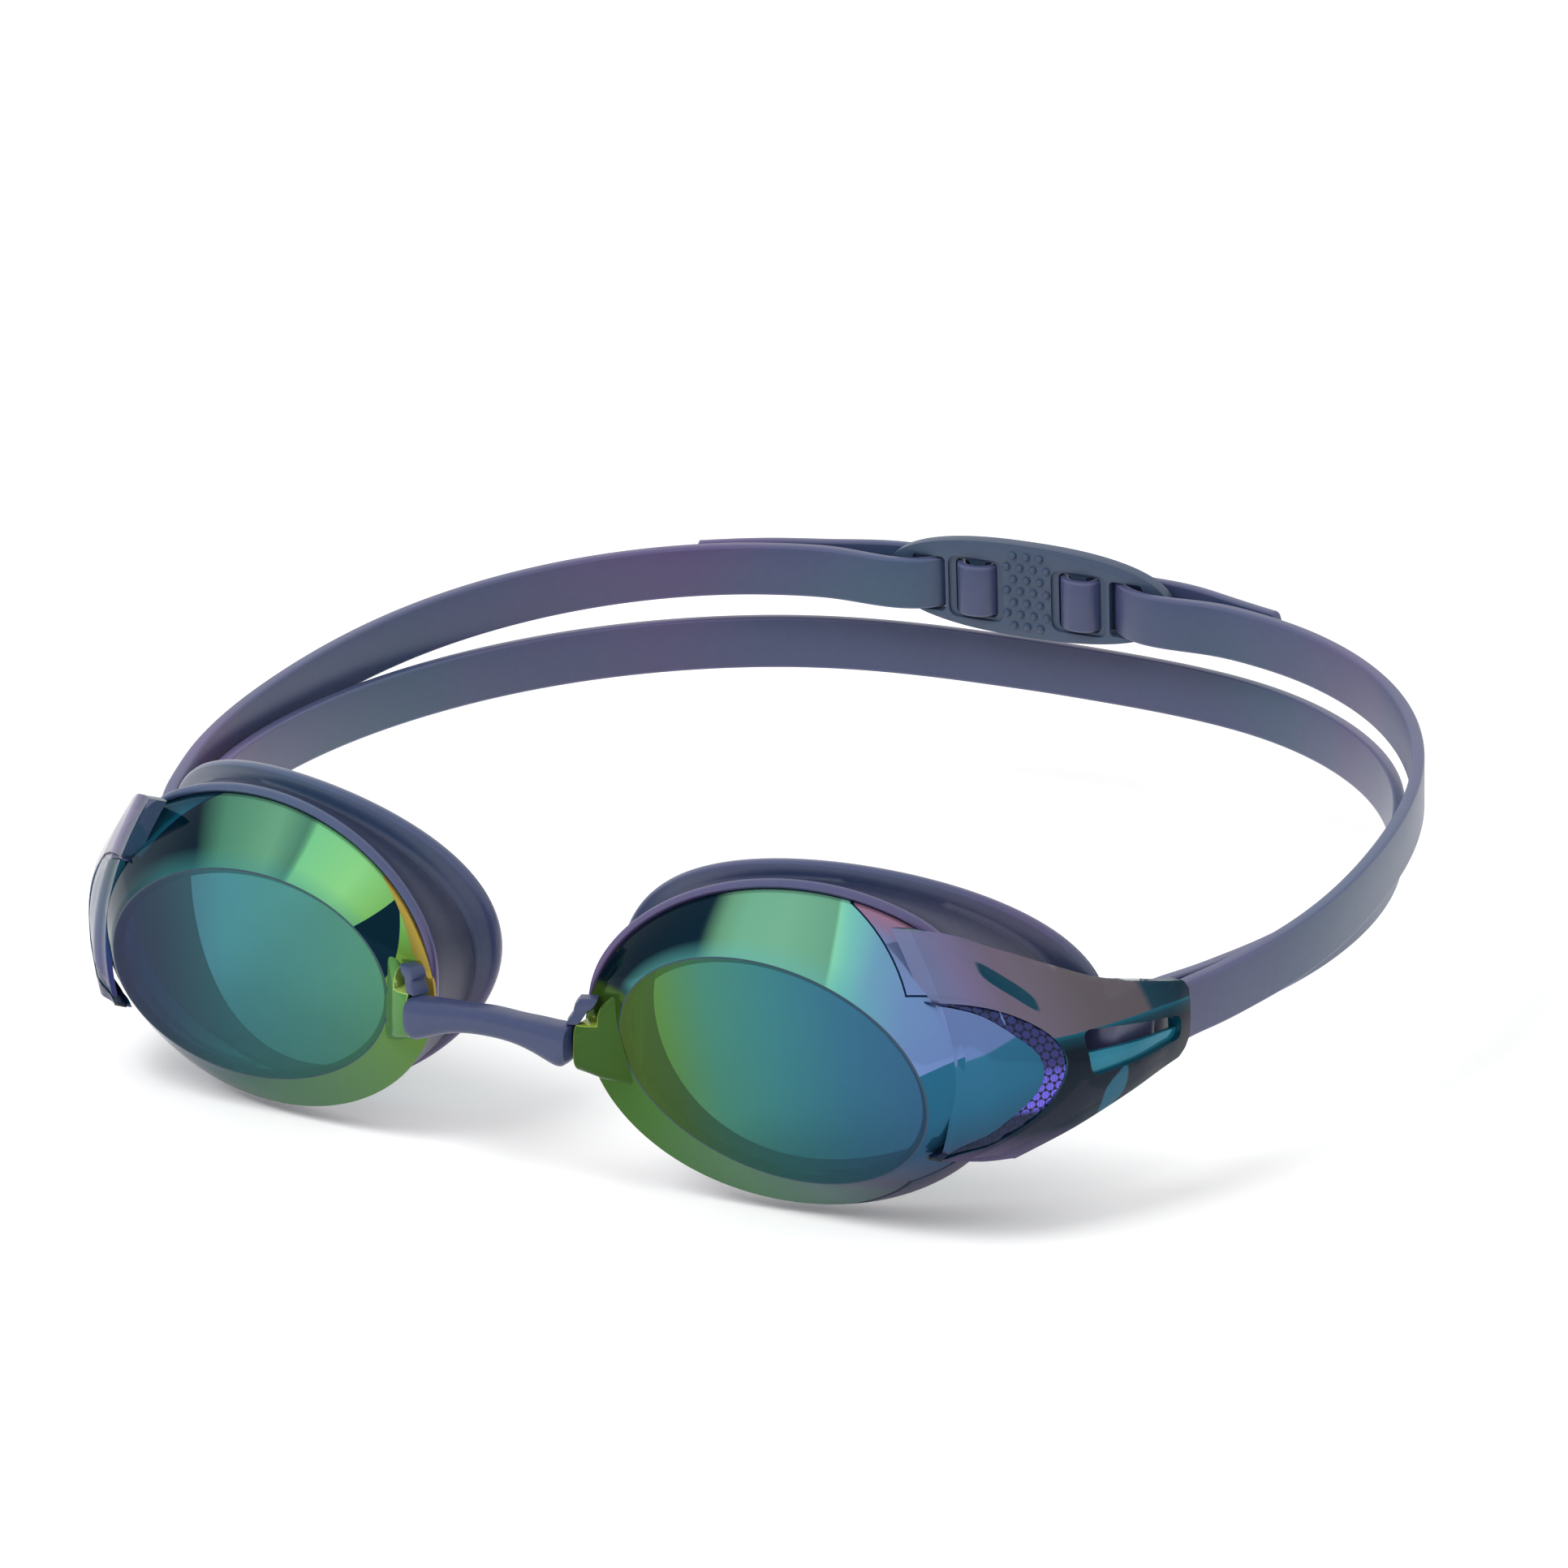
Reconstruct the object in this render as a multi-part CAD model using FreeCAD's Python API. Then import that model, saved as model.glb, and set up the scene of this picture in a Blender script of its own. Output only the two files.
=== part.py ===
"""Swim goggles: two lens cups with temple wings, soft gaskets, a nose bridge, a doubled strap and a clip.

Millimetres. +X is the wearer's left, +Y points to the back of the head and +Z is up. The origin is the
middle of the plane in which the two gaskets touch the face. Each left-hand piece is drawn at +X and
mirrored for the right.
"""
import FreeCAD, Part
import os
from math import acos, atan2, copysign, cos, hypot, pi, radians, sin, sqrt
from FreeCAD import Vector

os.makedirs("parts", exist_ok=True)

# ---- driving dimensions ----
WALL = 1.8                        # lens and wing wall
BAND_TALL = 8.0                   # strap width
BAND_THICK = 1.8                  # strap thickness
TRIM_GAP = 0.03                   # clearance between the wing shell and the strip
TRIM_THICK = 0.5                  # patterned strip
WEAVE_THICK = 1.3                 # strap stretched thin inside the clip
GAP = 0.3                         # running gap between bodies

WINDOW = dict(centre=(38.0, -19.5, -0.5), half=(21.3, 15.7), wrap=1.4, pitch=13.0, roll=-10.0)
RIM = dict(centre=(38.9, -14.0, 1.4), half=(27.6, 20.6), wrap=9.0, pitch=1.5, roll=0.0)
FLANGE = dict(centre=(39.2, -40.0, 2.6), half=(30.4, 21.6), wrap=0.0, pitch=0.0, roll=-3.0)
NECK_BACK = dict(centre=(38.6, 24.0, 2.0), half=(28.6, 20.0), wrap=14.0, pitch=0.0, roll=0.0)
SEAL_AT = dict(x=41.0, y=-7.6, slope=0.342, bow=0.0136)     # the seal wraps round the face to the temple
FLANGE_HALF_THICK = 1.2
SKIRT_STEP = 0.8                  # the skirt behind the rim is this much smaller
SKIRT_LONG = 3.6

WING_END = 18.4                   # rear end of the temple wing
SLOT = dict(front=-1.0, rear=16.0, front_z=(-0.8, 5.1), rear_z=(0.0, 3.0))
POST = (71.7, 6.6)                # strap post inside the wing
POST_R = 0.9
LOOP_THICK = 1.4                  # strap stretched thin round the post

PIVOT_Y = 20.6                    # the bands swing up and down about this line, just behind the wings
PIVOT_Z = 1.0
UPPER_TILT = 6.9                  # the upper band rises to the back
LOWER_TILT = 0.7

CLIP_LONG = 46.0
CLIP_TALL = 14.6
CLIP_THICK = 2.0
CLIP_RISE = 0.7                   # its middle is this far above the middle of the strap
CLIP_FRONT = 143.1                # head side of the clip plate, before the tilt
SLOT_A = (13.3, 18.6)             # the strap goes out here
SLOT_B = (9.4, 12.1)              # comes back in
SLOT_C = (4.4, 7.0)               # and leaves here
BUMP_R = 0.6
BUMP_PITCH = (2.15, 1.85)
TAIL_START = 8.4
LEFT_TAIL_END = 41.0
RIGHT_TAIL_END = 52.0

# inner faces of the bands in plan, from the wing to the middle of the back
UPPER_PLAN = [
    (74.5, 20.6), (81.6, 43.4), (83.2, 68.5), (77.3, 100.5),
    (60.1, 126.7), (36.0, 139.6), (23.0, 141.1),
]
LOWER_PLAN = [
    (71.5, 20.6), (78.2, 42.9), (80.3, 69.5), (75.0, 98.9),
    (61.2, 125.5), (36.0, 145.2), (0.0, 150.2),
]


# ---- helpers ----
def place(frame, grow=0.0, back=0.0):
    """Closed oval wire on a tilted plane; grow widens it and back moves it towards the face."""
    wrap, pitch, roll = (radians(frame[k]) for k in ("wrap", "pitch", "roll"))
    along = Vector(cos(wrap), sin(wrap), 0)
    up = Vector(sin(wrap) * sin(pitch), -cos(wrap) * sin(pitch), cos(pitch))
    u = along * cos(roll) + up * sin(roll)
    v = up * cos(roll) - along * sin(roll)
    n = u.cross(v)
    centre = Vector(*frame["centre"]) + Vector(0, back, 0)
    rows = [[u.x, v.x, n.x, centre.x], [u.y, v.y, n.y, centre.y], [u.z, v.z, n.z, centre.z], [0, 0, 0, 1]]
    matrix = FreeCAD.Matrix(*[value for row in rows for value in row])
    oval = Part.Ellipse(Vector(0, 0, 0), frame["half"][0] + grow, frame["half"][1] + grow)
    wire = Part.Wire([oval.toShape()])
    wire.Placement = FreeCAD.Placement(matrix)
    return wire


def loft(*wires):
    """Solid with straight walls through oval wires."""
    return Part.makeLoft(list(wires), True, True)


def largest(shape):
    """The main solid, without the crumbs that a cut leaves."""
    return max(shape.Solids, key=lambda solid: solid.Volume)


def box(x, y, z):
    """Box between pairs of coordinates."""
    corner = Vector(x[0], y[0], z[0])
    return Part.makeBox(x[1] - x[0], y[1] - y[0], z[1] - z[0], corner)


def mirrored(shape):
    """The same shape on the wearer's other side."""
    return shape.mirror(Vector(0, 0, 0), Vector(1, 0, 0))


def curve(points):
    """Edge along a smooth curve through plan points."""
    spline = Part.BSplineCurve()
    spline.interpolate([Vector(x, y, 0) for x, y in points])
    return spline


def ribbon(points, low, high, side_in, side_out, steps=24):
    """Upright band that follows a plan curve; the two offsets are distances to its left."""
    spline = curve(points)
    first, last = spline.FirstParameter, spline.LastParameter
    inner, outer = [], []
    for i in range(steps + 1):
        u = first + (last - first) * i / steps
        at = spline.value(u)
        (way,) = spline.tangent(u)
        left = Vector(-way.y, way.x, 0)
        inner.append(at + left * side_in)
        outer.append(at + left * side_out)
    one = Part.BSplineCurve()
    one.interpolate(inner)
    two = Part.BSplineCurve()
    two.interpolate(outer)
    ends = [Part.makeLine(inner[-1], outer[-1]), Part.makeLine(outer[0], inner[0])]
    edges = [one.toShape(), two.toShape()] + ends
    face = Part.Face(Part.Wire(Part.__sortEdges__(edges)))
    face.translate(Vector(0, 0, low))
    return face.extrude(Vector(0, 0, high - low))


def tilted(shape, angle):
    """Turned up about the line through the two wing ends."""
    turned = shape.copy()
    turned.rotate(Vector(0, PIVOT_Y, PIVOT_Z), Vector(1, 0, 0), angle)
    return turned


def knuckle(radius):
    """Long roller along the line that a band swings about."""
    start = Vector(-95, PIVOT_Y, PIVOT_Z)
    return Part.makeCylinder(radius, 190, start, Vector(1, 0, 0))


# ---- eyecup ----
def lens_outside(grow=0.0):
    """Whole volume of the lens cup, from the window back to the rim."""
    return loft(place(WINDOW, grow), place(RIM, grow))


def skirt_outside(start=-0.3):
    """Volume of the skirt that the gasket grips."""
    return loft(place(RIM, -SKIRT_STEP, start), place(RIM, -SKIRT_STEP, SKIRT_LONG))


def nose_bracket():
    """Block beside the nose with a notch, open to the front and top, for the bridge's tab."""
    block = loft(bracket_wire(-7.4, 15.2, 0.0), bracket_wire(-2.0, 17.0, 0.0), bracket_wire(7.2, 18.5, 1.5))
    notch = box((11.0, 15.4), (-27.0, -18.9), (0.4, 9.0))
    seat = box((8.0, 12.4), (-28.0, -18.9), (-4.2, 9.0))
    return block.cut(notch).cut(seat)


def bracket_wire(z, far, lean):
    """One level of the bracket's outline."""
    corners = [(11.0, -21.6 + lean), (far, -23.2 + lean), (far + 2.5, -17.4), (12.3, -18.3)]
    points = [Vector(x, y, z) for x, y in corners]
    return Part.makePolygon(points + points[:1])


def left_lens():
    """Clear cup: window, sloping wall, rim, skirt and nose bracket, hollow from behind."""
    hollow = loft(place(WINDOW, -WALL, 2.0), place(RIM, -SKIRT_STEP - WALL, 0.6))
    throat = loft(place(RIM, -SKIRT_STEP - WALL, 0.59), place(RIM, -SKIRT_STEP - WALL, SKIRT_LONG + 1))
    cup = lens_outside().fuse(skirt_outside()).cut(hollow).cut(throat)
    return cup.fuse(nose_bracket().cut(lens_outside(-0.2)))


# rear stations of the wing: distance back, then (x, z) at its bottom, middle and top edges
WING_STATIONS = [
    (-16.0, (59.0, -13.8), (61.8, 2.0), (55.0, 19.9)),
    (-13.0, (64.0, -11.8), (65.2, 2.0), (58.5, 19.2)),
    (-8.0, (68.0, -9.8), (69.0, 2.0), (62.5, 16.6)),
    (-2.0, (72.1, -7.5), (72.8, 2.0), (66.3, 13.6)),
    (6.0, (75.8, -4.9), (76.2, 2.0), (71.3, 9.9)),
    (13.0, (77.6, -3.4), (78.0, 2.0), (75.5, 8.0)),
    (WING_END, (78.6, -2.7), (78.9, 2.0), (78.3, 7.1)),
]


def wing_section(index, skin=0.0, wall=WALL):
    """Closed outline of the wing's shell at one station, or of a layer of it that starts skin deep."""
    y, low, mid, top = WING_STATIONS[index]
    near = WING_STATIONS[max(index - 1, 0)]
    far = WING_STATIONS[min(index + 1, len(WING_STATIONS) - 1)]
    slope = (far[2][0] - near[2][0]) / (far[0] - near[0])
    lean = sqrt(1 + slope * slope)
    out = [Vector(x - skin * lean, y, z) for x, z in (low, mid, top)]
    back = [p - Vector(wall * lean, 0, 0) for p in out]
    edges = [
        Part.Arc(out[0], out[1], out[2]).toShape(),
        Part.makeLine(out[2], back[2]),
        Part.Arc(back[2], back[1], back[0]).toShape(),
        Part.makeLine(back[0], out[0]),
    ]
    return Part.Wire(edges)


def wing_slot():
    """Wedge-shaped prism across the wing, higher in front."""
    front, rear = SLOT["front"], SLOT["rear"]
    low_front, high_front = SLOT["front_z"]
    low_rear, high_rear = SLOT["rear_z"]
    corners = [(front, low_front), (rear, low_rear), (rear, high_rear), (front, high_front)]
    points = [Vector(60, y, z) for y, z in corners]
    prism = Part.Face(Part.makePolygon(points + points[:1])).extrude(Vector(30, 0, 0))
    upright = [e for e in prism.Edges if abs(e.tangentAt(e.FirstParameter).x) > 0.99]
    return prism.makeFillet(1.2, upright)


def crescent():
    """Prism across the temple whose side outline is a crescent, open to the front."""
    upper, lower = Vector(50, -16.5, 12.4), Vector(50, -15.5, -11.2)
    outer = Part.Arc(upper, Vector(50, -2.0, 3.0), lower).toShape()
    inner = Part.Arc(lower, Vector(50, -6.2, 3.0), upper).toShape()
    return Part.Face(Part.Wire([outer, inner])).extrude(Vector(40, 0, 0))


def wing_layer(skin, wall):
    """Whole surface of the wing as a layer between two depths."""
    return Part.makeLoft([wing_section(i, skin, wall) for i in range(len(WING_STATIONS))], True, False)


def left_trim():
    """Thin patterned strip under the wing's skin, between the wing and the lens."""
    strip = wing_layer(WALL + TRIM_GAP, TRIM_THICK).common(crescent())
    return largest(strip.cut(lens_outside(0.02)).cut(left_gasket_outside(0.05)))


def strap_post():
    """Upright post inside the wing, tied to the shell by a rib above and one below the strap."""
    x, y = POST
    low, high = PIVOT_Z - BAND_TALL / 2 - 0.4, PIVOT_Z + BAND_TALL / 2 + 0.4
    post = Part.makeCylinder(POST_R, high - low + 2, Vector(x, y, low - 1))
    for z in (low - 1.4, high):
        rib = box((x - 1.2, x + 2.6), (y - 1.5, y + 1.5), (z, z + 1.4))
        post = post.fuse(rib)
    return post


def left_wing():
    """Shell outside the temple, with its slot and the post that holds the strap."""
    solid = wing_layer(0.0, WALL).cut(wing_slot()).fuse(strap_post())
    return largest(solid.cut(lens_outside(0.02)).cut(left_gasket_outside(0.05)).cut(left_strap_loop()))


def seal_slab(front, rear):
    """Everything between two offsets of the curved sheet that the seals follow."""
    sides = []
    for offset in (front, rear):
        across = [-10 + 12 * i for i in range(9)]
        bend = [x - SEAL_AT["x"] for x in across]
        depth = [SEAL_AT["y"] + SEAL_AT["slope"] * b + SEAL_AT["bow"] * b * b + offset for b in bend]
        sides.append([Vector(x, y, -45) for x, y in zip(across, depth)])
    lines = []
    for points in sides:
        spline = Part.BSplineCurve()
        spline.interpolate(points)
        lines.append(spline.toShape())
    lines += [Part.makeLine(sides[0][0], sides[1][0]), Part.makeLine(sides[0][-1], sides[1][-1])]
    return Part.Face(Part.Wire(Part.__sortEdges__(lines))).extrude(Vector(0, 0, 90))


def left_gasket_outside(grow=0.0):
    """Volume inside the gasket's skin: front lip, neck and wrapped flange."""
    lip = loft(place(RIM, 1.8 + grow, 0.3), place(RIM, 2.0 + grow, 2.0))
    neck = loft(place(RIM, 0.8 + grow, 1.0), place(NECK_BACK, grow))
    neck = neck.common(seal_slab(-60, FLANGE_HALF_THICK / 2))
    oval = Part.Face(place(FLANGE, grow)).extrude(Vector(0, 80, 0))
    flange = oval.common(seal_slab(-FLANGE_HALF_THICK - grow, FLANGE_HALF_THICK))
    return flange.fuse(neck).fuse(lip)


def left_gasket():
    """Soft ring between the lens and the face, open right through."""
    opening = loft(place(RIM, -2.6, -0.5), place(NECK_BACK, -3.6))
    return largest(left_gasket_outside().cut(skirt_outside(-2.0)).cut(opening))


def nose_bridge():
    """Arched bar between the lenses with a tab at each end that lies in the bracket's notch."""
    front = -25.8
    half = [(0.0, 2.8), (8.0, 2.4), (11.6, 2.3), (11.6, -1.0), (10.4, -3.2), (7.0, -1.9), (0.0, -0.8)]
    right = [(-x, z) for x, z in reversed(half)][1:-1]
    points = [Vector(x, front, z) for x, z in half + right]
    bar = Part.Face(Part.makePolygon(points + points[:1])).extrude(Vector(0, 5.0, 0))
    tab = tab_loft()
    return bar.fuse(tab).fuse(mirrored(tab)).removeSplitter()


def tab_loft():
    """Neck and wider head of the left tab, leaning outwards, back and up."""
    sizes = [(0.0, 1.6, 1.5), (0.45, 1.2, 1.3), (0.5, 1.9, 1.3), (1.0, 1.8, 1.2)]
    start, end = Vector(11.4, -22.3, 1.4), Vector(13.2, -20.9, 5.4)
    wires = []
    for t, wide, deep in sizes:
        at = start + (end - start) * t
        across = Vector(wide * 0.8, wide * 0.35, 0)
        through = Vector(-deep * 0.35, deep * 0.8, 0)
        points = [at - across - through, at + across - through, at + across + through, at - across + through]
        wires.append(Part.makePolygon(points + points[:1]))
    return Part.makeLoft(wires, True, True)


# ---- strap ----
def band_levels():
    """Bottom and top of a band before it is tilted."""
    return PIVOT_Z - BAND_TALL / 2, PIVOT_Z + BAND_TALL / 2


def tangent_point(radius, x, turn):
    """Where a line from (x, PIVOT_Y) touches a circle round the post; turn is +1 or -1 for its side."""
    away = hypot(x - POST[0], PIVOT_Y - POST[1])
    angle = atan2(PIVOT_Y - POST[1], x - POST[0]) + turn * acos(radius / away)
    return Vector(POST[0] + radius * cos(angle), POST[1] + radius * sin(angle), 0)


def turn_edges(radius, lower_x, upper_x):
    """One side of the strap's turn: a straight leg, an arc round the front of the post and the other leg."""
    start, end = tangent_point(radius, lower_x, 1), tangent_point(radius, upper_x, -1)
    front = Vector(POST[0], POST[1] - radius, 0)
    return [
        Part.makeLine(Vector(lower_x, PIVOT_Y, 0), start),
        Part.Arc(start, front, end).toShape(),
        Part.makeLine(end, Vector(upper_x, PIVOT_Y, 0)),
    ]


def left_strap_loop():
    """The strap's turn round the post, with both legs running back to the wing's end."""
    small = POST_R + 0.1
    large = small + LOOP_THICK
    lower_leg, upper_leg = LOWER_PLAN[0][0], UPPER_PLAN[0][0]
    low, high = band_levels()
    outside = turn_edges(large, lower_leg, upper_leg + BAND_THICK)
    inside = turn_edges(small, lower_leg + BAND_THICK, upper_leg)
    ends = [
        Part.makeLine(Vector(lower_leg, PIVOT_Y, 0), Vector(lower_leg + BAND_THICK, PIVOT_Y, 0)),
        Part.makeLine(Vector(upper_leg, PIVOT_Y, 0), Vector(upper_leg + BAND_THICK, PIVOT_Y, 0)),
    ]
    face = Part.Face(Part.Wire(Part.__sortEdges__(outside + inside + ends)))
    face.translate(Vector(0, 0, low))
    return face.extrude(Vector(0, 0, high - low)).cut(knuckle(BAND_TALL / 2 + GAP))


def rounded_start(band):
    """Band whose front end is rounded about the line it swings on."""
    behind = box((-100, 100), (PIVOT_Y, 200), (-60, 60))
    return band.common(behind.fuse(knuckle(BAND_TALL / 2)))


def lower_band():
    """The strap's lower run, unbroken from one wing to the other."""
    half = [(66.8, 5.4)] + LOWER_PLAN
    route = half + [(-x, y) for x, y in reversed(half)][1:]
    low, high = band_levels()
    band = ribbon(route, low, high, -BAND_THICK, 0.0, 60)
    return rounded_start(tilted(band, LOWER_TILT))


def left_upper_band():
    """The upper run: from the wing to the clip, then in and out of the clip's slots."""
    head = CLIP_FRONT - 0.15
    tail = CLIP_FRONT + CLIP_THICK + 0.15
    low, high = band_levels()
    main = ribbon([(69.4, 5.4)] + UPPER_PLAN + [(17.5, 141.2)], low, high, -BAND_THICK, 0.0, 40)
    weave = [
        (17.6, head - 0.9), (15.6, head + 0.3), (14.4, head + 1.5), (12.6, tail + 0.65), (11.2, head + 1.6),
        (10.2, head - 0.2), (8.3, head - 0.65), (6.6, head - 0.1), (5.7, head + 1.4), (5.6, tail + 0.8),
        (6.4, tail + 2.1), (TAIL_START - 0.2, tail + 2.6),
    ]
    thin = ribbon(weave, low, high, -WEAVE_THICK / 2, WEAVE_THICK / 2, 60)
    return largest(rounded_start(tilted(main.fuse(thin), UPPER_TILT)).cut(back_clip()))


def strap_tail(end):
    """The strap's free end, lying back along the outside of the upper run."""
    level = CLIP_FRONT + CLIP_THICK + 0.15 + 2.6
    bend = [(TAIL_START, level), (16.0, level), (24.5, level - 0.6)]
    follow = [(32.0, 144.9), (41.0, 142.0), (52.0, 136.6)]
    route = bend + [p for p in follow if p[0] <= end]
    low, high = band_levels()
    tail = ribbon(route, low + 0.2, high - 0.2, -0.75, 0.75, 24)
    tip = Vector(end, 140.0, PIVOT_Z)
    keep = Part.makeCylinder(9.0, 60, tip - Vector(9.0, 30, 0), Vector(0, 1, 0))
    body = box((0, end - 9.0), (100, 200), (-20, 20))
    return tilted(tail.common(keep.fuse(body)), UPPER_TILT)


def clip_outline(half_long, half_tall, power=2.35, count=40):
    """Eye-shaped face, a little fuller than an ellipse."""
    points = []
    for i in range(count):
        a = 2 * pi * i / count
        x = copysign(abs(cos(a)) ** (2 / power), cos(a)) * half_long
        z = copysign(abs(sin(a)) ** (2 / power), sin(a)) * half_tall
        points.append(Vector(x, 0, z))
    outline = Part.BSplineCurve()
    outline.interpolate(points, PeriodicFlag=True)
    return Part.Face(Part.Wire([outline.toShape()]))


def back_clip():
    """Plate with three slots on each side and a field of bumps on its head side."""
    plate = clip_outline(CLIP_LONG / 2, CLIP_TALL / 2).extrude(Vector(0, CLIP_THICK, 0))
    middle = PIVOT_Z + CLIP_RISE
    plate.translate(Vector(0, CLIP_FRONT, middle))
    tall = BAND_TALL / 2 + 0.35
    for side in (1, -1):
        for near, far in (SLOT_A, SLOT_B, SLOT_C):
            ends = sorted((side * near, side * far))
            plate = plate.cut(box(ends, (CLIP_FRONT - 1, CLIP_FRONT + 3), (PIVOT_Z - tall, PIVOT_Z + tall)))
    for row in range(7):
        count = 3 if row % 2 == 0 else 4
        z = middle + (3 - row) * BUMP_PITCH[1]
        for i in range(count):
            x = (i - (count - 1) / 2) * BUMP_PITCH[0]
            plate = plate.fuse(Part.makeSphere(BUMP_R, Vector(x, CLIP_FRONT, z)))
    return tilted(plate, UPPER_TILT)


# ---- write every piece ----
def save(name, shape):
    """Write one piece to its own file."""
    shape.exportStep("parts/" + name + ".step")
    print(name, len(shape.Solids), round(shape.Volume, 1), shape.isValid())


def save_pair(name, shape):
    """Write the left piece and its mirror image."""
    save("left_" + name, shape)
    save("right_" + name, mirrored(shape))


save_pair("lens", left_lens())
save_pair("temple_wing", left_wing())
save_pair("pattern_trim", left_trim())
save_pair("gasket", left_gasket())
save_pair("strap_loop", left_strap_loop())
save_pair("upper_band", left_upper_band())
save("nose_bridge", nose_bridge())
save("lower_band", lower_band())
save("left_strap_tail", strap_tail(LEFT_TAIL_END))
save("right_strap_tail", mirrored(strap_tail(RIGHT_TAIL_END)))
save("back_clip", back_clip())
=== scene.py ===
"""Swim goggles: the visual model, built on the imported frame.

+X is the wearer's left, +Y points to the back of the head and +Z is up, as in the frame. Each left-hand
piece is drawn at +X and mirrored for the right. Lengths are in millimetres until a mesh is made; materials
measure places in metres.
"""
import bmesh
import bpy
from math import acos, atan2, copysign, cos, hypot, pi, radians, sin, sqrt
import numpy as np
from mathutils import Matrix, Vector


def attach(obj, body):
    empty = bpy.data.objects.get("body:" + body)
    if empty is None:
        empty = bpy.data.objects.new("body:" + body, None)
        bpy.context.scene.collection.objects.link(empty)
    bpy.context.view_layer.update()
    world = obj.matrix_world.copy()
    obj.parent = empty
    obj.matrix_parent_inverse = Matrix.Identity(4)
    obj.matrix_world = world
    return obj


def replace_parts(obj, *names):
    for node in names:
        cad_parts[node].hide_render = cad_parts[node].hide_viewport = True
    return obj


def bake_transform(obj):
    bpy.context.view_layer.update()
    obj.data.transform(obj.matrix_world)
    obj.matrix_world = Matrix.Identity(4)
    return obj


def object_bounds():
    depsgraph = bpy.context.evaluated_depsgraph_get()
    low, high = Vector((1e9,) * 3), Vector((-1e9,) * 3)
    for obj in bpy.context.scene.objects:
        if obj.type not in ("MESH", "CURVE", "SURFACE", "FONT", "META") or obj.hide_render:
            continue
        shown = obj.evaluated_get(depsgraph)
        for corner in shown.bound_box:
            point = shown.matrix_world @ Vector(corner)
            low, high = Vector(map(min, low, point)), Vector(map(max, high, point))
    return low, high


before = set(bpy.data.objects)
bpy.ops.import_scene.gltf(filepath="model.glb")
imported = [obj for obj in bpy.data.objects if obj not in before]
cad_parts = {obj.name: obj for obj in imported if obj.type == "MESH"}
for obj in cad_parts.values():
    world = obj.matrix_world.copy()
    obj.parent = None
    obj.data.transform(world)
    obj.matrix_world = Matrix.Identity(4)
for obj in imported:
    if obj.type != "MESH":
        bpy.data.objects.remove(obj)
CAD_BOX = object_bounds()

# ---- dimensions shared with the CAD ----
MM = 0.001
RING = 144   # points round an oval
WALL = 1.8
WINDOW = dict(centre=(38, -19.5, -0.5), half=(21.3, 15.7), wrap=1.4, pitch=13, roll=-10)
RIM = dict(centre=(38.9, -14, 1.4), half=(27.6, 20.6), wrap=9, pitch=1.5, roll=0)
FLANGE = dict(centre=(39.2, -40, 2.6), half=(30.4, 21.6), wrap=0, pitch=0, roll=-3)
NECK_BACK = dict(centre=(38.6, 24, 2), half=(28.6, 20), wrap=14, pitch=0, roll=0)
SEAL_AT = dict(x=41, y=-7.6, slope=0.342, bow=0.0136)
SKIRT_STEP = 0.8
SKIRT_LONG = 3.6
WINDOW_THICK = 1.1
WINDOW_INSET = 0.5   # from the window's outer edge to its inner one
DOME = 0.8   # how far the window bulges forward
LIP_STEPS = [   # the gasket's lip: growth below, growth above, distance back, material
    (-0.3, 0.05, 0.7, 2), (-0.1, 0.15, 0.3, 2), (0.1, 0.45, 0, 2), (0.25, 0.8, 0.05, 2), (0.4, 1.1, 0.35, 2),
    (0.5, 1.25, 0.8, 2), (0.5, 1.2, 1.3, 2), (0.4, 0.9, 1.7, 1), (0.3, 0.5, 2, 1),
]
FLANGE_STEPS = [   # the gasket's flange: growth, distance back, material
    (-0.9, -1.2, 0), (-0.35, -1, 2), (-0.05, -0.5, 2), (0, 0.1, 2), (-0.1, 0.7, 2), (-0.5, 1.1, 0),
    (-1.1, 1.25, 0),
]
BRACKET_SIZES = [   # the nose bracket at each x: front, back, low, high
    (12.1, -23.9, -19, -4, 3.1), (13.5, -23.3, -18.5, -4.5, 3.9), (15, -22.3, -18, -5.2, 5.2),
    (16.4, -21, -17.2, -5.7, 6.8), (18.2, -18.6, -16.4, -6.4, 8.6),
]
NOTCH_CORNERS = [(11, -27), (14.7, -27), (14.7, -19.4), (11, -19.4)]
NOTCH_FLOOR = 2.4
BRIDGE_HALF = [   # the bar at each x: low, high, front, back, roundness
    (0, -0.9, 2.7, -25.6, -21, 1.5), (4, -1.2, 2.5, -25.6, -21, 1.5), (7, -2, 2.45, -25.7, -20.9, 1.4),
    (9.4, -2.9, 2.35, -25.8, -20.8, 1.1), (10.8, -3.1, 2.3, -25.8, -20.8, 0.9),
    (11.6, -2.2, 2.1, -25.7, -20.9, 0.8),
]
TAB_START = (11.5, -22.1, 2.9)
TAB_END = (12.9, -21, 5.6)
TAB_STEPS = [   # the tab along its length: share, half width, half depth
    (-0.2, 0.9, 1.5), (0.25, 0.9, 1.4), (0.44, 0.9, 1.3), (0.50, 1.3, 1.35), (0.75, 1.4, 1.35),
    (1, 1.3, 1.2),
]
BAND_TALL = 8
BAND_THICK = 1.8
WEAVE_THICK = 1.3
LOOP_THICK = 1.4
END_ROUND = 0.45
CORNER = 0.42   # rounding of the strap's edges
POST = (71.7, 6.6)
POST_R = 0.9
POST_HEAD_R = 1.5
TURN_R = POST_R + 0.1 + LOOP_THICK / 2   # middle of the strap as it turns round the post
TURN_END = 15   # how far back the turn hands over to the two bands
PIVOT_Y = 20.6
PIVOT_Z = 1
UPPER_TILT = 6.9
LOWER_TILT = 0.7
HINGE_EASE = 5   # the bands take up their tilt from this far before the hinge line to after it
CLIP_HALF = (23, 7.3)
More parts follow.
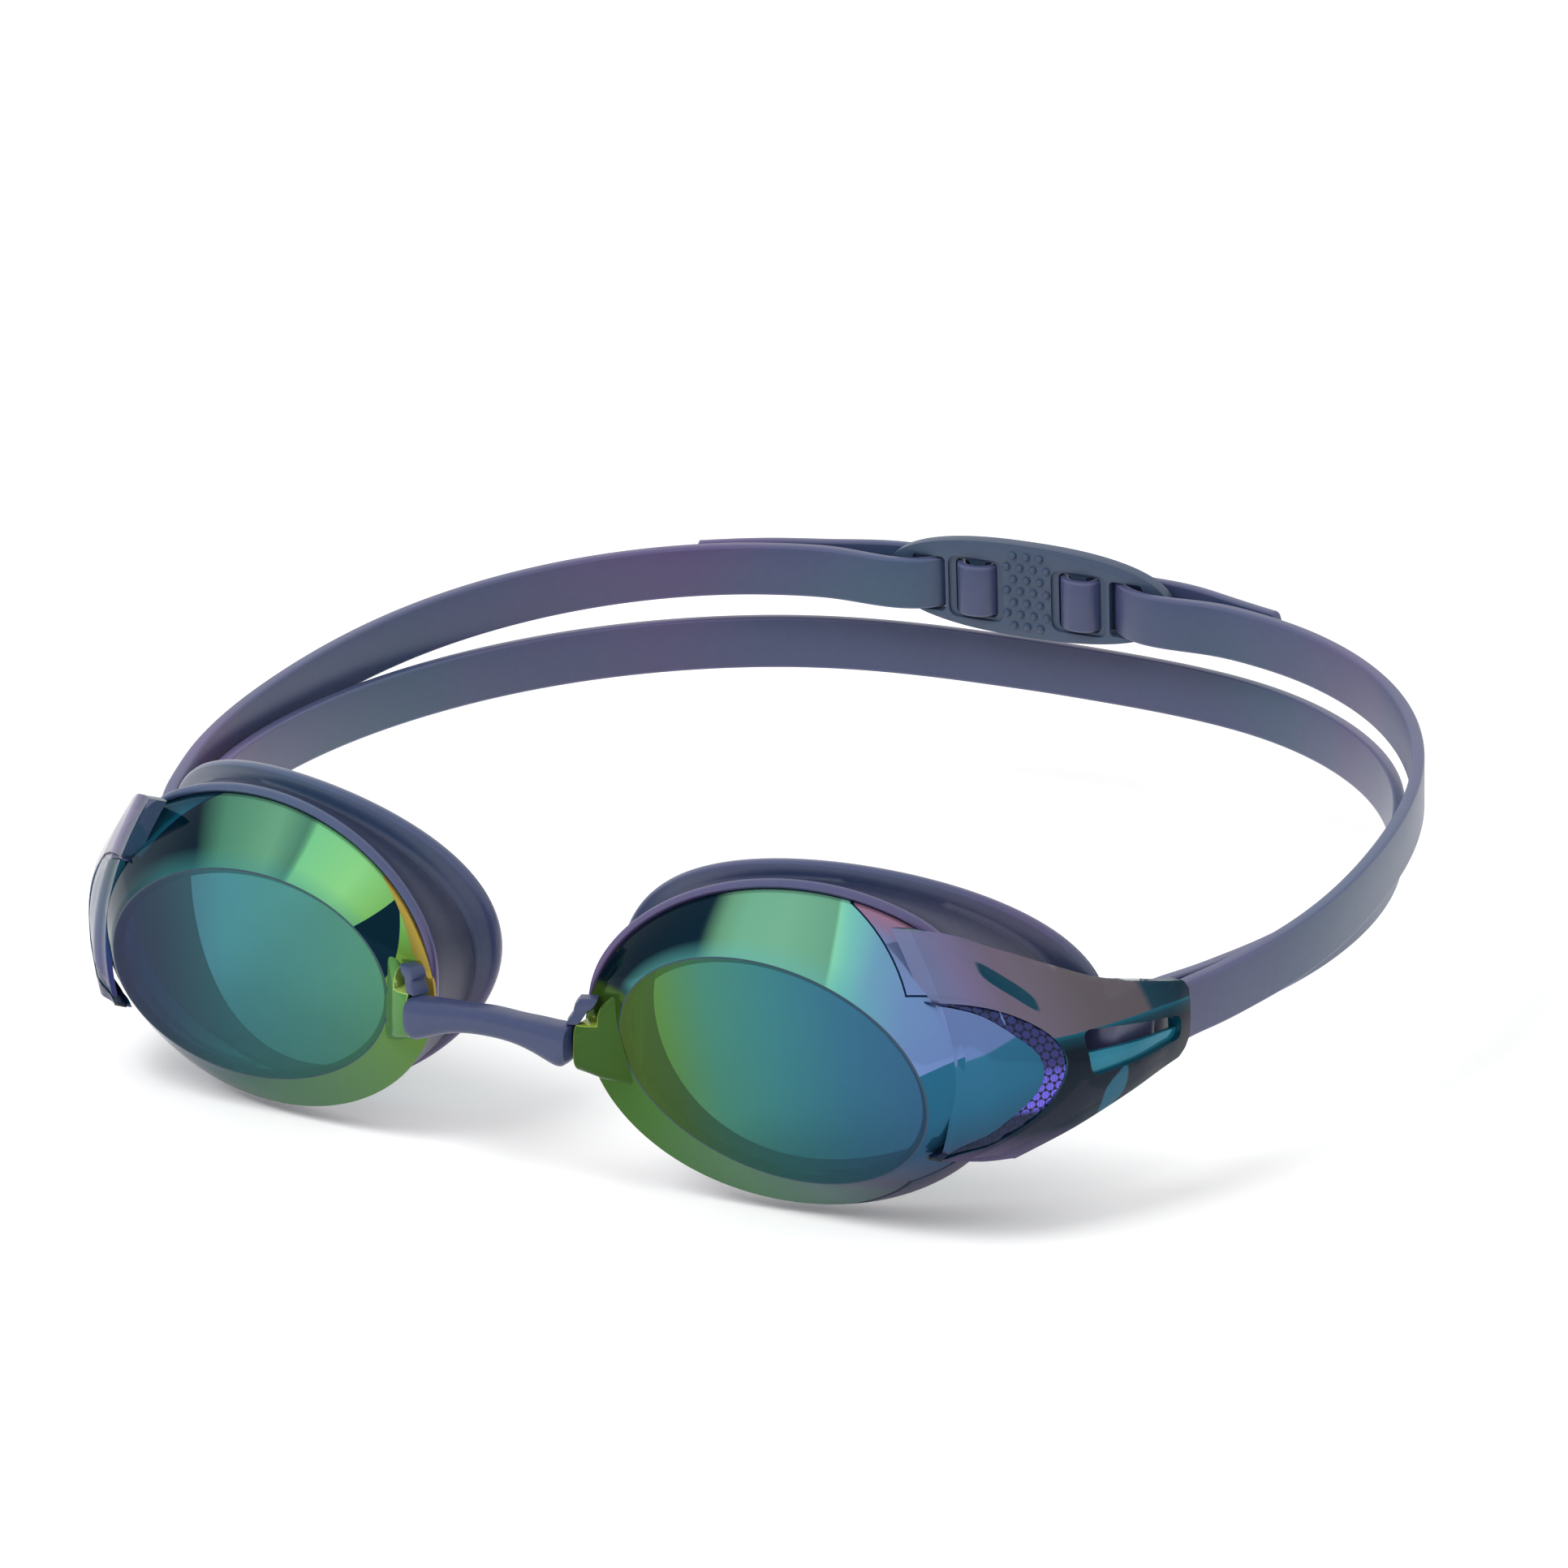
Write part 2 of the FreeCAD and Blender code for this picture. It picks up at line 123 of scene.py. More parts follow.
CLIP_THICK = 2
CLIP_RISE = 0.7
CLIP_FRONT = 143.1
CLIP_SLOTS = [(13.3, 18.6), (9.4, 11.7), (5, 7)]
CLIP_POCKET = (3.9, 12.8)
SLOT_HALF = BAND_TALL / 2 + 0.35
BUMP_PITCH = (2.15, 1.85)
BUMP_R = 0.62
UPPER_PLAN = [   # (x, y) of the inside of the strap's upper run, from the hinge line to the clip
    (74.5, 20.6), (81.6, 43.4), (83.2, 68.5), (77.3, 100.5), (60.1, 126.7), (36, 139.6), (23, 141.1),
]
LOWER_PLAN = [   # the same of the lower run, to the middle of the back
    (71.5, 20.6), (78.2, 42.9), (80.3, 69.5), (75, 98.9), (61.2, 125.5), (36, 145.2), (0, 150.2),
]
TAIL_PLAN = [(24.5, 147.25), (32, 144.9), (41, 142), (52, 136.6)]   # beyond the clip
TAIL_ENDS = dict(left=41, right=52)
TAIL_THICK = 1.5
TAIL_TALL = 7.6
TAIL_TIP = 9   # length over which the free end is rounded
WING_SPAN = (-16, 18.4)
WING_REACH = (40, 95)   # x range that takes in the whole of a wing
WING_STATIONS = [   # distance back, then (x, z) of the wing's bottom, middle and top
    (-16, (59, -13.8), (61.8, 2), (55, 19.9)),
    (-13, (64, -11.8), (65.2, 2), (58.5, 19.2)),
    (-8, (68, -9.8), (69, 2), (62.5, 16.6)),
    (-2, (72.1, -7.5), (72.8, 2), (66.3, 13.6)),
    (6, (75.8, -4.9), (76.2, 2), (71.3, 9.9)),
    (13, (77.6, -3.4), (78, 2), (75.5, 8)),
    (18.4, (78.6, -2.7), (78.9, 2), (78.3, 7.1)),
]
# the patterned crescent's rear and front edges as (y, z), from below the wing's front to above it
TRIM_REAR = [
    (-17, -9.7), (-12.3, -7.4), (-7.4, -4.2), (-5, -1), (-4, 1.6), (-5, 5), (-7.3, 7.3), (-13, 10.4),
    (-17, 11.3),
]
TRIM_FRONT = [
    (-17, -9.4), (-14.4, -7.2), (-11.3, -4.6), (-8.5, -2), (-7, 0.8), (-7.3, 3.3), (-9, 5.6), (-13, 9.4),
    (-17, 11.1),
]
FRONT_WALL = 0.6   # clear plate inside the crescent
# (y, z) outlines taken off the wing: its lower front, its rear foot and its rear shoulder
WING_TRIMS = [
    [(-20, -9.2), (-15, -9.7), (-9.2, -10.2), (-8.6, -20), (-20, -20)],
    [(18.5, -0.3), (19, -0.2), (19, -4), (15.8, -3.3), (17.6, -1.9)],
    [(16.4, 7.8), (19, 8.5), (19, 5.4), (18.5, 5.7), (17.7, 6.9)],
]
SLOT_CORNERS = [(-1, -0.8), (16, 0), (16, 3), (-1, 5.1)]   # (y, z) of the wing's slot
STRIP_CORNERS = [(-1.4, -1.4), (16.4, -0.6), (16.4, 1.2), (-1.4, 2)]   # (y, z) of the clear strip in it
CAMERA_AT = (380.16, -724.01, 285.98)
CAMERA_TURN = (25.842, 17.610, 1.054)   # azimuth, elevation and roll in degrees
CAMERA_LENS = 152.41


# ---- curves ----
def spline(rows, count):
    """Natural cubic curve through rows that start with a place, in count even steps along it."""
    rows = np.array(rows, float)
    steps = np.linalg.norm(np.diff(rows[:, :3], axis=0), axis=1)
    at = np.concatenate([[0], np.cumsum(steps)])
    n = len(rows)
    a = np.zeros((n, n))
    b = np.zeros(rows.shape)
    a[0, 0] = a[-1, -1] = 1
    for i in range(1, n - 1):
        before, after = steps[i - 1], steps[i]
        a[i, i - 1:i + 2] = before, 2 * (before + after), after
        b[i] = 6 * ((rows[i + 1] - rows[i]) / after - (rows[i] - rows[i - 1]) / before)
    bend = np.linalg.solve(a, b)
    t = np.linspace(0, at[-1], count)
    k = np.clip(np.searchsorted(at, t, side="right") - 1, 0, n - 2)
    h = steps[k][:, None]
    u = ((t - at[k]) / steps[k])[:, None]
    low, high = 1 - u, u
    bent = (low ** 3 - low) * bend[k] + (high ** 3 - high) * bend[k + 1]
    return low * rows[k] + high * rows[k + 1] + h * h / 6 * bent


def offset_plan(points, shift, count):
    """Plan curve through points, moved to its right by shift."""
    line = spline([(x, y, 0) for x, y in points], count)
    way = np.gradient(line, axis=0)
    way /= np.linalg.norm(way, axis=1)[:, None]
    return [(p[0] + w[1] * shift, p[1] - w[0] * shift) for p, w in zip(line, way)]


def hinge_tilt(points, angle):
    """Turned up about the line through the two wing ends, eased in over the first few millimetres."""
    turned = []
    for p in points:
        ease = min(1, max(0, (p[1] - PIVOT_Y + HINGE_EASE) / (2 * HINGE_EASE)))
        a = radians(angle) * ease * ease * (3 - 2 * ease)
        y, z = p[1] - PIVOT_Y, p[2] - PIVOT_Z
        turned.append(Vector((p[0], PIVOT_Y + y * cos(a) - z * sin(a), PIVOT_Z + y * sin(a) + z * cos(a))))
    return turned


def oval(place, grow=0, back=0, scale=1, dome=0):
    """Points of an oval on a tilted plane; grow widens it, back moves it back and dome moves it forwards."""
    wrap, pitch, roll = (radians(place[k]) for k in ("wrap", "pitch", "roll"))
    along = Vector((cos(wrap), sin(wrap), 0))
    up = Vector((sin(wrap) * sin(pitch), -cos(wrap) * sin(pitch), cos(pitch)))
    u = along * cos(roll) + up * sin(roll)
    v = up * cos(roll) - along * sin(roll)
    centre = Vector(place["centre"]) + Vector((0, back, 0)) + u.cross(v) * dome
    wide = (place["half"][0] + grow) * scale
    tall = (place["half"][1] + grow) * scale
    turns = [2 * pi * i / RING for i in range(RING)]
    return [centre + u * wide * cos(a) + v * tall * sin(a) for a in turns]


def topped(low, high, back=0):
    """Oval of the rim, grown by low round its lower half and under the wing, and by high over its top."""
    ring = []
    for i, (p, q) in enumerate(zip(oval(RIM, low, back), oval(RIM, high, back))):
        turn = 360 * i / RING
        rise = min(1, max(0, (sin(radians(turn)) + 0.1) / 0.5))
        clear_of_wing = min(1, max(0, (turn - 35) / 25))
        t = min(rise, clear_of_wing)
        ring.append(p.lerp(q, t * t * (3 - 2 * t)))
    return ring


def between(one, two, share, bulge=0):
    """Ring part of the way from one ring to another, pushed out from the middle by bulge."""
    middle = sum(one, Vector()) / len(one)
    ring = []
    for p, q in zip(one, two):
        out = p - middle
        out.y = 0
        ring.append(p.lerp(q, share) + out.normalized() * bulge)
    return ring


# ---- meshes ----
def make(name, points, faces, slots, materials, mirror=False, sharp=35):
    """Object from points in millimetres; slots gives each face's material, and mirror puts it at -X."""
    sign = -1 if mirror else 1
    mesh = bpy.data.meshes.new(name)
    if mirror:
        faces = [tuple(reversed(f)) for f in faces]
    mesh.from_pydata([(sign * p[0] * MM, p[1] * MM, p[2] * MM) for p in points], [], faces)
    for m in materials:
        mesh.materials.append(m)
    mesh.polygons.foreach_set("material_index", slots)
    mesh.polygons.foreach_set("use_smooth", [True] * len(faces))
    mesh.update()
    piece = bpy.data.objects.new(name, mesh)
    bpy.context.scene.collection.objects.link(piece)
    mesh.set_sharp_from_angle(angle=radians(sharp))
    return piece


def ring_faces(count, rings, slots, closed=False, caps=()):
    """Quads between rings of count points; slots[i] is the material of the strip behind ring i."""
    faces, used = [], []
    for r in range(rings if closed else rings - 1):
        a, b = r * count, (r + 1) % rings * count
        for i in range(count):
            j = (i + 1) % count
            faces.append((a + i, a + j, b + j, b + i))
            used.append(slots[r])
    if caps:
        last = (rings - 1) * count
        faces.append(tuple(reversed(range(count))))
        faces.append(tuple(range(last, last + count)))
        used += list(caps)
    return faces, used


def wrap_uv(piece, count, rises):
    """Map of a ring mesh: across is the turn round the oval and up is each ring's own rise."""
    mesh = piece.data
    layer = mesh.uv_layers.new(name="Around")
    for face in mesh.polygons:
        turns = [mesh.loops[i].vertex_index % count / count for i in face.loop_indices]
        seam = max(turns) - min(turns) > 0.5
        for i, turn in zip(face.loop_indices, turns):
            ring = mesh.loops[i].vertex_index // count
            layer.data[i].uv = (turn + 1 if seam and turn < 0.5 else turn, rises[ring])


def all_points(rings):
    """All points of a list of rings in one list."""
    return [p for ring in rings for p in ring]


def face_outwards(piece):
    """Turn every face of a closed piece outwards."""
    bm = bmesh.new()
    bm.from_mesh(piece.data)
    bmesh.ops.recalc_face_normals(bm, faces=bm.faces)
    bm.to_mesh(piece.data)
    bm.free()
    return piece


def wear(piece, *materials):
    """Give the piece these materials."""
    piece.data.materials.clear()
    for material in materials:
        piece.data.materials.append(material)


def apply_modifiers(piece):
    """Bake the piece's modifiers into its mesh."""
    graph = bpy.context.evaluated_depsgraph_get()
    mesh = bpy.data.meshes.new_from_object(piece.evaluated_get(graph))
    piece.modifiers.clear()
    piece.data = mesh
    return piece


def cut(piece, *cutters):
    """Take the cutters away from the piece and remove them."""
    for cutter in cutters:
        modifier = piece.modifiers.new("cut", "BOOLEAN")
        modifier.operation = "DIFFERENCE"
        modifier.solver = "EXACT"
        modifier.object = cutter
    apply_modifiers(piece)
    for cutter in cutters:
        bpy.data.objects.remove(cutter, do_unlink=True)
    return piece


def soften(piece, width, segments=2, angle=35, edge_slot=-1):
    """Round the piece's hard edges."""
    bevel = piece.modifiers.new("round", "BEVEL")
    bevel.width = width * MM
    bevel.segments = segments
    bevel.limit_method = "ANGLE"
    bevel.angle_limit = radians(angle)
    bevel.use_clamp_overlap = True
    bevel.material = edge_slot
    apply_modifiers(piece)
    piece.data.polygons.foreach_set("use_smooth", [True] * len(piece.data.polygons))
    piece.data.set_sharp_from_angle(angle=radians(angle + 15))
    return piece


def join(pieces):
    """One object from several."""
    first = pieces[0]
    with bpy.context.temp_override(active_object=first, selected_editable_objects=pieces, object=first):
        bpy.ops.object.join()
    return first


def tube(name, rings, materials, mirror=False, slot=0):
    """Closed solid through rings, all of one material slot."""
    faces, used = ring_faces(len(rings[0]), len(rings), [slot] * len(rings), caps=(slot, slot))
    return make(name, all_points(rings), faces, used, materials, mirror)


def solid_rings(name, rings, mirror, slot=1):
    """Closed solid through rings that may run either way, with no material yet."""
    return face_outwards(tube(name, rings, [None] * (slot + 1), mirror, slot))


def prism(name, outline, low, high, axis, mirror=False, slot=1):
    """Closed prism of an outline along axis 0, 1 or 2, between two levels."""
    points = []
    for level in (low, high):
        for p in outline:
            at = list(p)
            at.insert(axis, level)
            points.append(at)
    n = len(outline)
    faces = [tuple(range(n)), tuple(reversed(range(n, 2 * n)))]
    faces += [(i, i + n, (i + 1) % n + n, (i + 1) % n) for i in range(n)]
    return face_outwards(make(name, points, faces, [slot] * len(faces), [None] * (slot + 1), mirror))


def rounded_outline(corners, radius, steps=5):
    """Outline with each corner replaced by an arc."""
    outline = []
    n = len(corners)
    for i in range(n):
        p = Vector(corners[i])
        a = (Vector(corners[i - 1]) - p).normalized()
        b = (Vector(corners[(i + 1) % n]) - p).normalized()
        half = acos(max(-1, min(1, a.dot(b)))) / 2
        reach = radius / np.tan(half)
        centre = p + (a + b).normalized() * radius / sin(half)
        start, end = p + a * reach - centre, p + b * reach - centre
        first = atan2(start.y, start.x)
        turn = (atan2(end.y, end.x) - first + pi) % (2 * pi) - pi
        for k in range(steps + 1):
            angle = first + turn * k / steps
            outline.append((centre.x + radius * cos(angle), centre.y + radius * sin(angle)))
    return outline


# ---- node materials ----
def srgb(colour):
    """Linear colour from a string like "#8090a0"."""
    share = [c / 255 for c in bytes.fromhex(colour[1:])]
    return [c / 12.92 if c <= 0.04045 else ((c + 0.055) / 1.055) ** 2.4 for c in share] + [1]


class Nodes:
    """Short way to add and link shader nodes."""

    def __init__(self, name):
        self.material = bpy.data.materials.new(name)
        self.material.use_nodes = True
        self.tree = self.material.node_tree
        self.shader = self.tree.nodes["Principled BSDF"]
        self.out = self.tree.nodes["Material Output"]

    def put(self, socket, value):
        """Link a socket to an output, or set its value; a string is a colour."""
        if isinstance(value, bpy.types.NodeSocket):
            self.tree.links.new(value, socket)
        elif isinstance(value, str):
            socket.default_value = srgb(value)
        else:
            socket.default_value = value

    def add(self, kind, *inputs, **settings):
        """New node with its first inputs given in order."""
        node = self.tree.nodes.new("ShaderNode" + kind)
        for key, value in settings.items():
            setattr(node, key, value)
        for socket, value in zip(node.inputs, inputs):
            if value is not None:
                self.put(socket, value)
        return node

    def math(self, operation, *inputs):
        return self.add("Math", *inputs, operation=operation).outputs[0]

    def plus(self, a, b):
        return self.math("ADD", a, b)

    def minus(self, a, b):
        return self.math("SUBTRACT", a, b)

    def times(self, a, b):
        return self.math("MULTIPLY", a, b)

    def over(self, a, b):
        return self.math("DIVIDE", a, b)

    def place(self):
        """Position in metres, in the row frame."""
        return self.add("TexCoord").outputs["Object"]

    def axes(self, vector):
        return self.add("SeparateXYZ", vector).outputs

    def noise(self, scale, detail=2, rough=0.5):
        node = self.add("TexNoise")
        self.put(node.inputs["Vector"], self.place())
        self.put(node.inputs["Scale"], scale)
        self.put(node.inputs["Detail"], detail)
        self.put(node.inputs["Roughness"], rough)
        return node.outputs["Fac"]

    def uneven(self, base, depth, scale, detail=1):
        """Number that wanders between base and base + depth."""
        return self.plus(self.times(self.noise(scale, detail), depth), base)

    def ramp(self, factor, stops):
        """Colour from (place, colour) stops; a number stands for a grey."""
        node = self.add("ValToRGB", factor)
        elements = node.color_ramp.elements
        while len(elements) < len(stops):
            elements.new(1)
        for element, (at, colour) in zip(elements, stops):
            element.position = at
            element.color = srgb(colour) if isinstance(colour, str) else (colour, colour, colour, 1)
        return node.outputs["Color"]

    def level(self, factor, stops):
        """Number from (place, number) stops."""
        return self.axes(self.ramp(factor, stops))[0]

    def mix(self, factor, one, two):
        node = self.add("Mix", data_type="RGBA")
        self.put(node.inputs[0], factor)
        self.put(node.inputs[6], one)
        self.put(node.inputs[7], two)
        return node.outputs[2]

    def bump(self, height, strength, distance):
        node = self.add("Bump")
        self.put(node.inputs["Height"], height)
        self.put(node.inputs["Strength"], strength)
        self.put(node.inputs["Distance"], distance)
        self.put(self.shader.inputs["Normal"], node.outputs[0])

    def set(self, **values):
        for key, value in values.items():
            self.put(self.shader.inputs[key.replace("_", " ")], value)
        return self.material

    def see_through(self, tint, solid):
        """Lets tinted light past the shader; solid is the share that the shader keeps."""
        clear = self.add("BsdfTransparent", tint)
        mixed = self.add("MixShader", solid, clear.outputs[0], self.shader.outputs[0])
        self.put(self.out.inputs["Surface"], mixed.outputs[0])
        return self.material


def silicone(name, slate, purple, teal, rough):
    """Pearly silicone: slate blue that drifts to purple and teal, with a fine moulded grain."""
    n = Nodes(name)
    drift = n.noise(17, 1.5, 0.45)
    body = n.ramp(drift, [(0.36, teal), (0.46, slate), (0.52, slate), (0.62, purple)])
    speck = n.noise(900, 2)
    colour = n.mix(n.times(speck, 0.12), body, "#54587c")
    n.bump(n.noise(2600, 3), 0.10, 0.0002)
    return n.set(Base_Color=colour, Roughness=n.uneven(rough, 0.12, 60, 3), Sheen_Weight=0.05,
                 Sheen_Roughness=0.35, Sheen_Tint="#aa8cc8", Coat_Weight=0.08, Coat_Roughness=0.25)


STRAP = silicone("strap_silicone_pearl", "#313958", "#403158", "#213f54", 0.32)
# lighter copy of the strap silicone for its edges: a painted highlight along the rounded edges
STRAP_EDGE_HIGHLIGHT = silicone("strap_silicone_edge_painted_highlight", "#404464", "#4c4068", "#344864", 0.28)
GASKET = silicone("gasket_silicone_pearl", "#232f4c", "#322a4c", "#1b334a", 0.32)
# darker copy of the gasket silicone for the groove, neck and opening: painted shade in the recesses
GASKET_RECESS_SHADE = silicone("gasket_silicone_recess_painted_shade", "#1b233a", "#201f3a", "#18263a", 0.38)
# lighter, more purple copy of the gasket silicone for the lip and the flange's ridge: a painted highlight
GASKET_RIDGE_HIGHLIGHT = silicone("gasket_silicone_ridge_painted_highlight", "#30395a", "#483862", "#2a3e5a", 0.24)
BRIDGE = silicone("bridge_rubber_satin", "#1b3150", "#222e50", "#16344e", 0.30)
CLIP = silicone("clip_plastic_matt", "#2c3c52", "#303750", "#283d52", 0.40)


def around(nodes):
    """Turn round the oval and rise from the ring mesh's own map."""
    across, up, _ = nodes.axes(nodes.add("UVMap", uv_map="Around").outputs[0])
    return across, up


def turn_stops(stops):
    """Ramp stops from degrees round the oval."""
    return [(degrees / 360, colour) for degrees, colour in stops]


def wing_front(name, stops, solid):
    """Clear plate inside the patterned strip, tinted by its height above a line that rises to the back: a
    painted reflection, which differs between the sides.
    """
    n = Nodes(name)
    _, y, z = n.axes(n.place())
    rise = n.minus(z, n.times(n.plus(y, 0.016), 0.43))
    colour = n.ramp(n.plus(n.times(rise, 30), 0.36), stops)
    n.set(Base_Color=colour, Metallic=0.5, Roughness=n.uneven(0.05, 0.03, 140), Specular_IOR_Level=0.05,
          Coat_Weight=0.05, Coat_Roughness=0.03)
    return n.see_through(colour, solid)


def lens_window(name, across, solid):
    """Mirrored window whose colour drifts from the nose to the temple and with height: a painted reflection.
    """
    n = Nodes(name)
    x, _, z = n.axes(n.place())
    side = n.math("ABSOLUTE", x)
    share = n.over(n.minus(side, 0.017), 0.043)
    share = n.plus(share, n.times(z, 2))
    # painted reflection: the window's colour ramp by side and height
    colour = n.ramp(share, across)
    n.set(Base_Color=colour, Metallic=0.55, Roughness=n.uneven(0.05, 0.02, 140), Coat_Weight=0.25,
          Coat_Roughness=0.03)
    return n.see_through(colour, solid)


def tent(nodes, turn, rise, start, end, depth):
    """How far inside a tent on the wall: its foot on the rim from start to end degrees, depth high."""
    half = (end - start) / 720
    near = nodes.over(nodes.minus(turn, start / 360), half)
    far = nodes.over(nodes.minus(end / 360, turn), half)
    fold = nodes.minus(1, nodes.times(nodes.math("MINIMUM", near, far), depth))
    return nodes.minus(rise, fold)


def sail(nodes, turn, rise, first, last, lean):
    """1 inside a sail on the wall: its foot on the window from first to last degrees, its mast leaning."""
    mast = nodes.minus(first / 360, nodes.times(rise, lean / 360))
    slope = nodes.times(nodes.minus(last / 360, turn), 360 / (last - first + lean))
    return nodes.times(nodes.math("GREATER_THAN", turn, mast), nodes.math("LESS_THAN", rise, slope))


def leaning_turn(nodes, turn, rise, lean):
    """The turn, moved on with the rise: by the first lean near the temple, by the second near the nose."""
    temple, nose = lean
    share = nodes.times(nodes.minus(turn, 76 / 360), (nose - temple) / 44)
    share = nodes.math("MAXIMUM", nodes.plus(share, temple / 360), min(lean) / 360)
    share = nodes.math("MINIMUM", share, max(lean) / 360)
    share = nodes.times(share, nodes.math("LESS_THAN", turn, 0.42))
    return nodes.plus(turn, nodes.times(rise, share))


def lens_wall(name, look, solid):
    """Mirrored side wall: colours by the turn that are painted reflections, a drawn creased plate above the
    temple and a smoky one below whose colours by rise are painted reflections too, and a dark crease line
    that is painted shade.
    """
    n = Nodes(name)
    turn, rise = around(n)
    colour = n.ramp(leaning_turn(n, turn, rise, look["lean"]), turn_stops(look["wall"]))
    # a band of the strip colour along the top of the window: painted reflection
    low = n.level(rise, [(0, 1), (0.28, 0)])
    upper = n.level(turn, [(0.10, 0), (0.18, 1), (0.44, 1), (0.46, 0)])
    near_window = n.times(n.times(low, upper), 0.45)
    colour = n.mix(near_window, colour, look["strip"])
    # lower patches and sails: shapes of painted reflection laid over the wall
    for first, last, rgb in look["lower"]:
        edge = n.plus(turn, n.times(rise, (first - last) / 360))
        below = n.times(n.math("LESS_THAN", edge, first / 360), n.math("LESS_THAN", turn, 0.4))
        colour = n.mix(below, colour, rgb)
    for first, last, lean, rgb in look["sails"]:
        colour = n.mix(sail(n, turn, rise, first, last, lean), colour, rgb)
    for start, end, depth, line, stops in look["plates"]:
        over = tent(n, turn, rise, start, end, depth)
        colour = n.mix(n.math("GREATER_THAN", over, 0), colour, n.ramp(rise, stops))
        # the crease is a dark line of painted shade along the plate's edge
        crease_painted_shade = n.math("LESS_THAN", n.math("ABSOLUTE", over), line)
        colour = n.mix(crease_painted_shade, colour, "#0c1e38")
    n.set(Base_Color=colour, Metallic=0.5, Roughness=n.uneven(0.06, 0.03, 160), Specular_IOR_Level=0.03,
          Coat_Weight=0.03, Coat_Roughness=0.03)
    return n.see_through(colour, solid)


def lens_inner(name, stops, solid):
    """Inside of the side wall, which shows through the window; its colours by the turn are painted reflection
    and shade.
    """
    n = Nodes(name)
    turn, _ = around(n)
    colour = n.ramp(turn, turn_stops(stops))
    n.set(Base_Color=colour, Metallic=0.4, Roughness=n.uneven(0.12, 0.05, 120))
    return n.see_through(colour, solid)


def tinted(name, colour, deep, solid, metal=0.3, gloss=0.3):
    """Clear tinted plastic whose depth of colour wanders a little."""
    n = Nodes(name)
    shade = n.mix(n.noise(90, 1), colour, deep)
    n.set(Base_Color=shade, Metallic=metal, Roughness=n.uneven(0.06, 0.05, 120, 2),
          Specular_IOR_Level=gloss, Coat_Weight=gloss / 2, Coat_Roughness=0.04)
    return n.see_through(shade, solid)


def wing_skin(side, front):
    """Smoky wing with painted reflections: mauve above the fold, a teal line along it, navy to mauve below
    and a teal rear end, its front colour differing by side.
    """
    n = Nodes(side + "_wing_smoky_clear_painted_reflection")
    _, y, z = n.axes(n.place())
    fold = n.minus(z, 0.0049)
    below = n.ramp(n.plus(n.times(fold, 50), 0.9),
                   [(0.06, "#706686"), (0.20, "#4a445e"), (0.32, "#0e1e2c"), (0.80, "#03101c"),
                    (0.87, "#043444"), (0.90, "#065468")])
    back = n.plus(n.times(y, 28), 0.45)
    above = n.ramp(back, [(0, front), (0.08, "#706a8c"), (0.20, "#665c6e"), (0.50, "#544e54"),
                          (0.74, "#504a50"), (0.77, "#043242"), (0.95, "#032230")])
    colour = n.mix(n.math("GREATER_THAN", fold, 0), below, above)
    for middle, slant, half, rgb in WING_SPOTS:
        along = n.minus(y, middle[0] * MM)
        up = n.minus(n.minus(z, middle[1] * MM), n.times(along, slant))
        a = n.over(along, half[0] * MM)
        b = n.over(up, half[1] * MM)
        reach = n.plus(n.math("POWER", n.math("ABSOLUTE", a), 4), n.math("POWER", n.math("ABSOLUTE", b), 4))
        colour = n.mix(n.level(reach, [(0.55, 1), (1, 0)]), colour, rgb)
    n.set(Base_Color=colour, Roughness=n.uneven(0.07, 0.04, 120), Metallic=0.2,
          Specular_IOR_Level=0.12, Coat_Weight=0.06, Coat_Roughness=0.03, Sheen_Weight=0.12,
          Sheen_Roughness=0.3, Sheen_Tint="#c8aad7")
    to_back = n.plus(n.times(y, 100), 1.6)
    return n.see_through("#e2d6e8", n.level(to_back, [(0, 0.62), (1, 0.88)]))


def hexagon_pattern():
    """Rows of violet dots with fine upright lines on a dark ground."""
    n = Nodes("trim_hexagon_pattern")
    _, y, z = n.axes(n.place())
    pitch = 0.00115
    spots = None
    for shift in (0, 0.5):
        a = n.minus(n.math("FRACT", n.plus(n.over(y, pitch), shift + 40)), 0.5)
        b = n.minus(n.math("FRACT", n.plus(n.over(z, pitch * sqrt(3)), shift + 40)), 0.5)
        a = n.math("ABSOLUTE", a)
        b = n.math("ABSOLUTE", n.times(b, sqrt(3)))
        slant = n.plus(n.times(a, 0.866), n.times(b, 0.5))
        reach = n.math("MAXIMUM", slant, b)
        spots = reach if spots is None else n.math("MINIMUM", spots, reach)
    dot = n.math("LESS_THAN", spots, 0.41)
    lines = n.math("LESS_THAN", n.math("FRACT", n.over(n.plus(y, 1), 0.00035)), 0.55)
    # the violet is brightest in a band across the middle heights: a painted highlight
    violet_highlight_band = n.ramp(n.plus(n.times(z, 35), 0.5),
                  [(0.18, "#081a26"), (0.352, "#101e34"), (0.38, "#6a5cd4"), (0.52, "#6056c4"),
                   (0.56, "#30306c"), (0.92, "#222e54")])
    violet = n.mix(n.times(lines, 0.35), violet_highlight_band, "#20245c")
    colour = n.mix(dot, "#0a142c", violet)
    return n.set(Base_Color=colour, Metallic=0.5, Roughness=0.28, Specular_IOR_Level=0.2, Coat_Weight=0.2,
                 Coat_Roughness=0.06)


# ---- eyecups ----
# spots on the wing: middle (y, z), slant, half sizes, colour
WING_SPOTS = [
    ((2.9, -3.6), 0.75, (2, 2.4), "#1a546a"),
    ((-8.2, 11.9), -1, (3, 1.3), "#053a4c"),
]
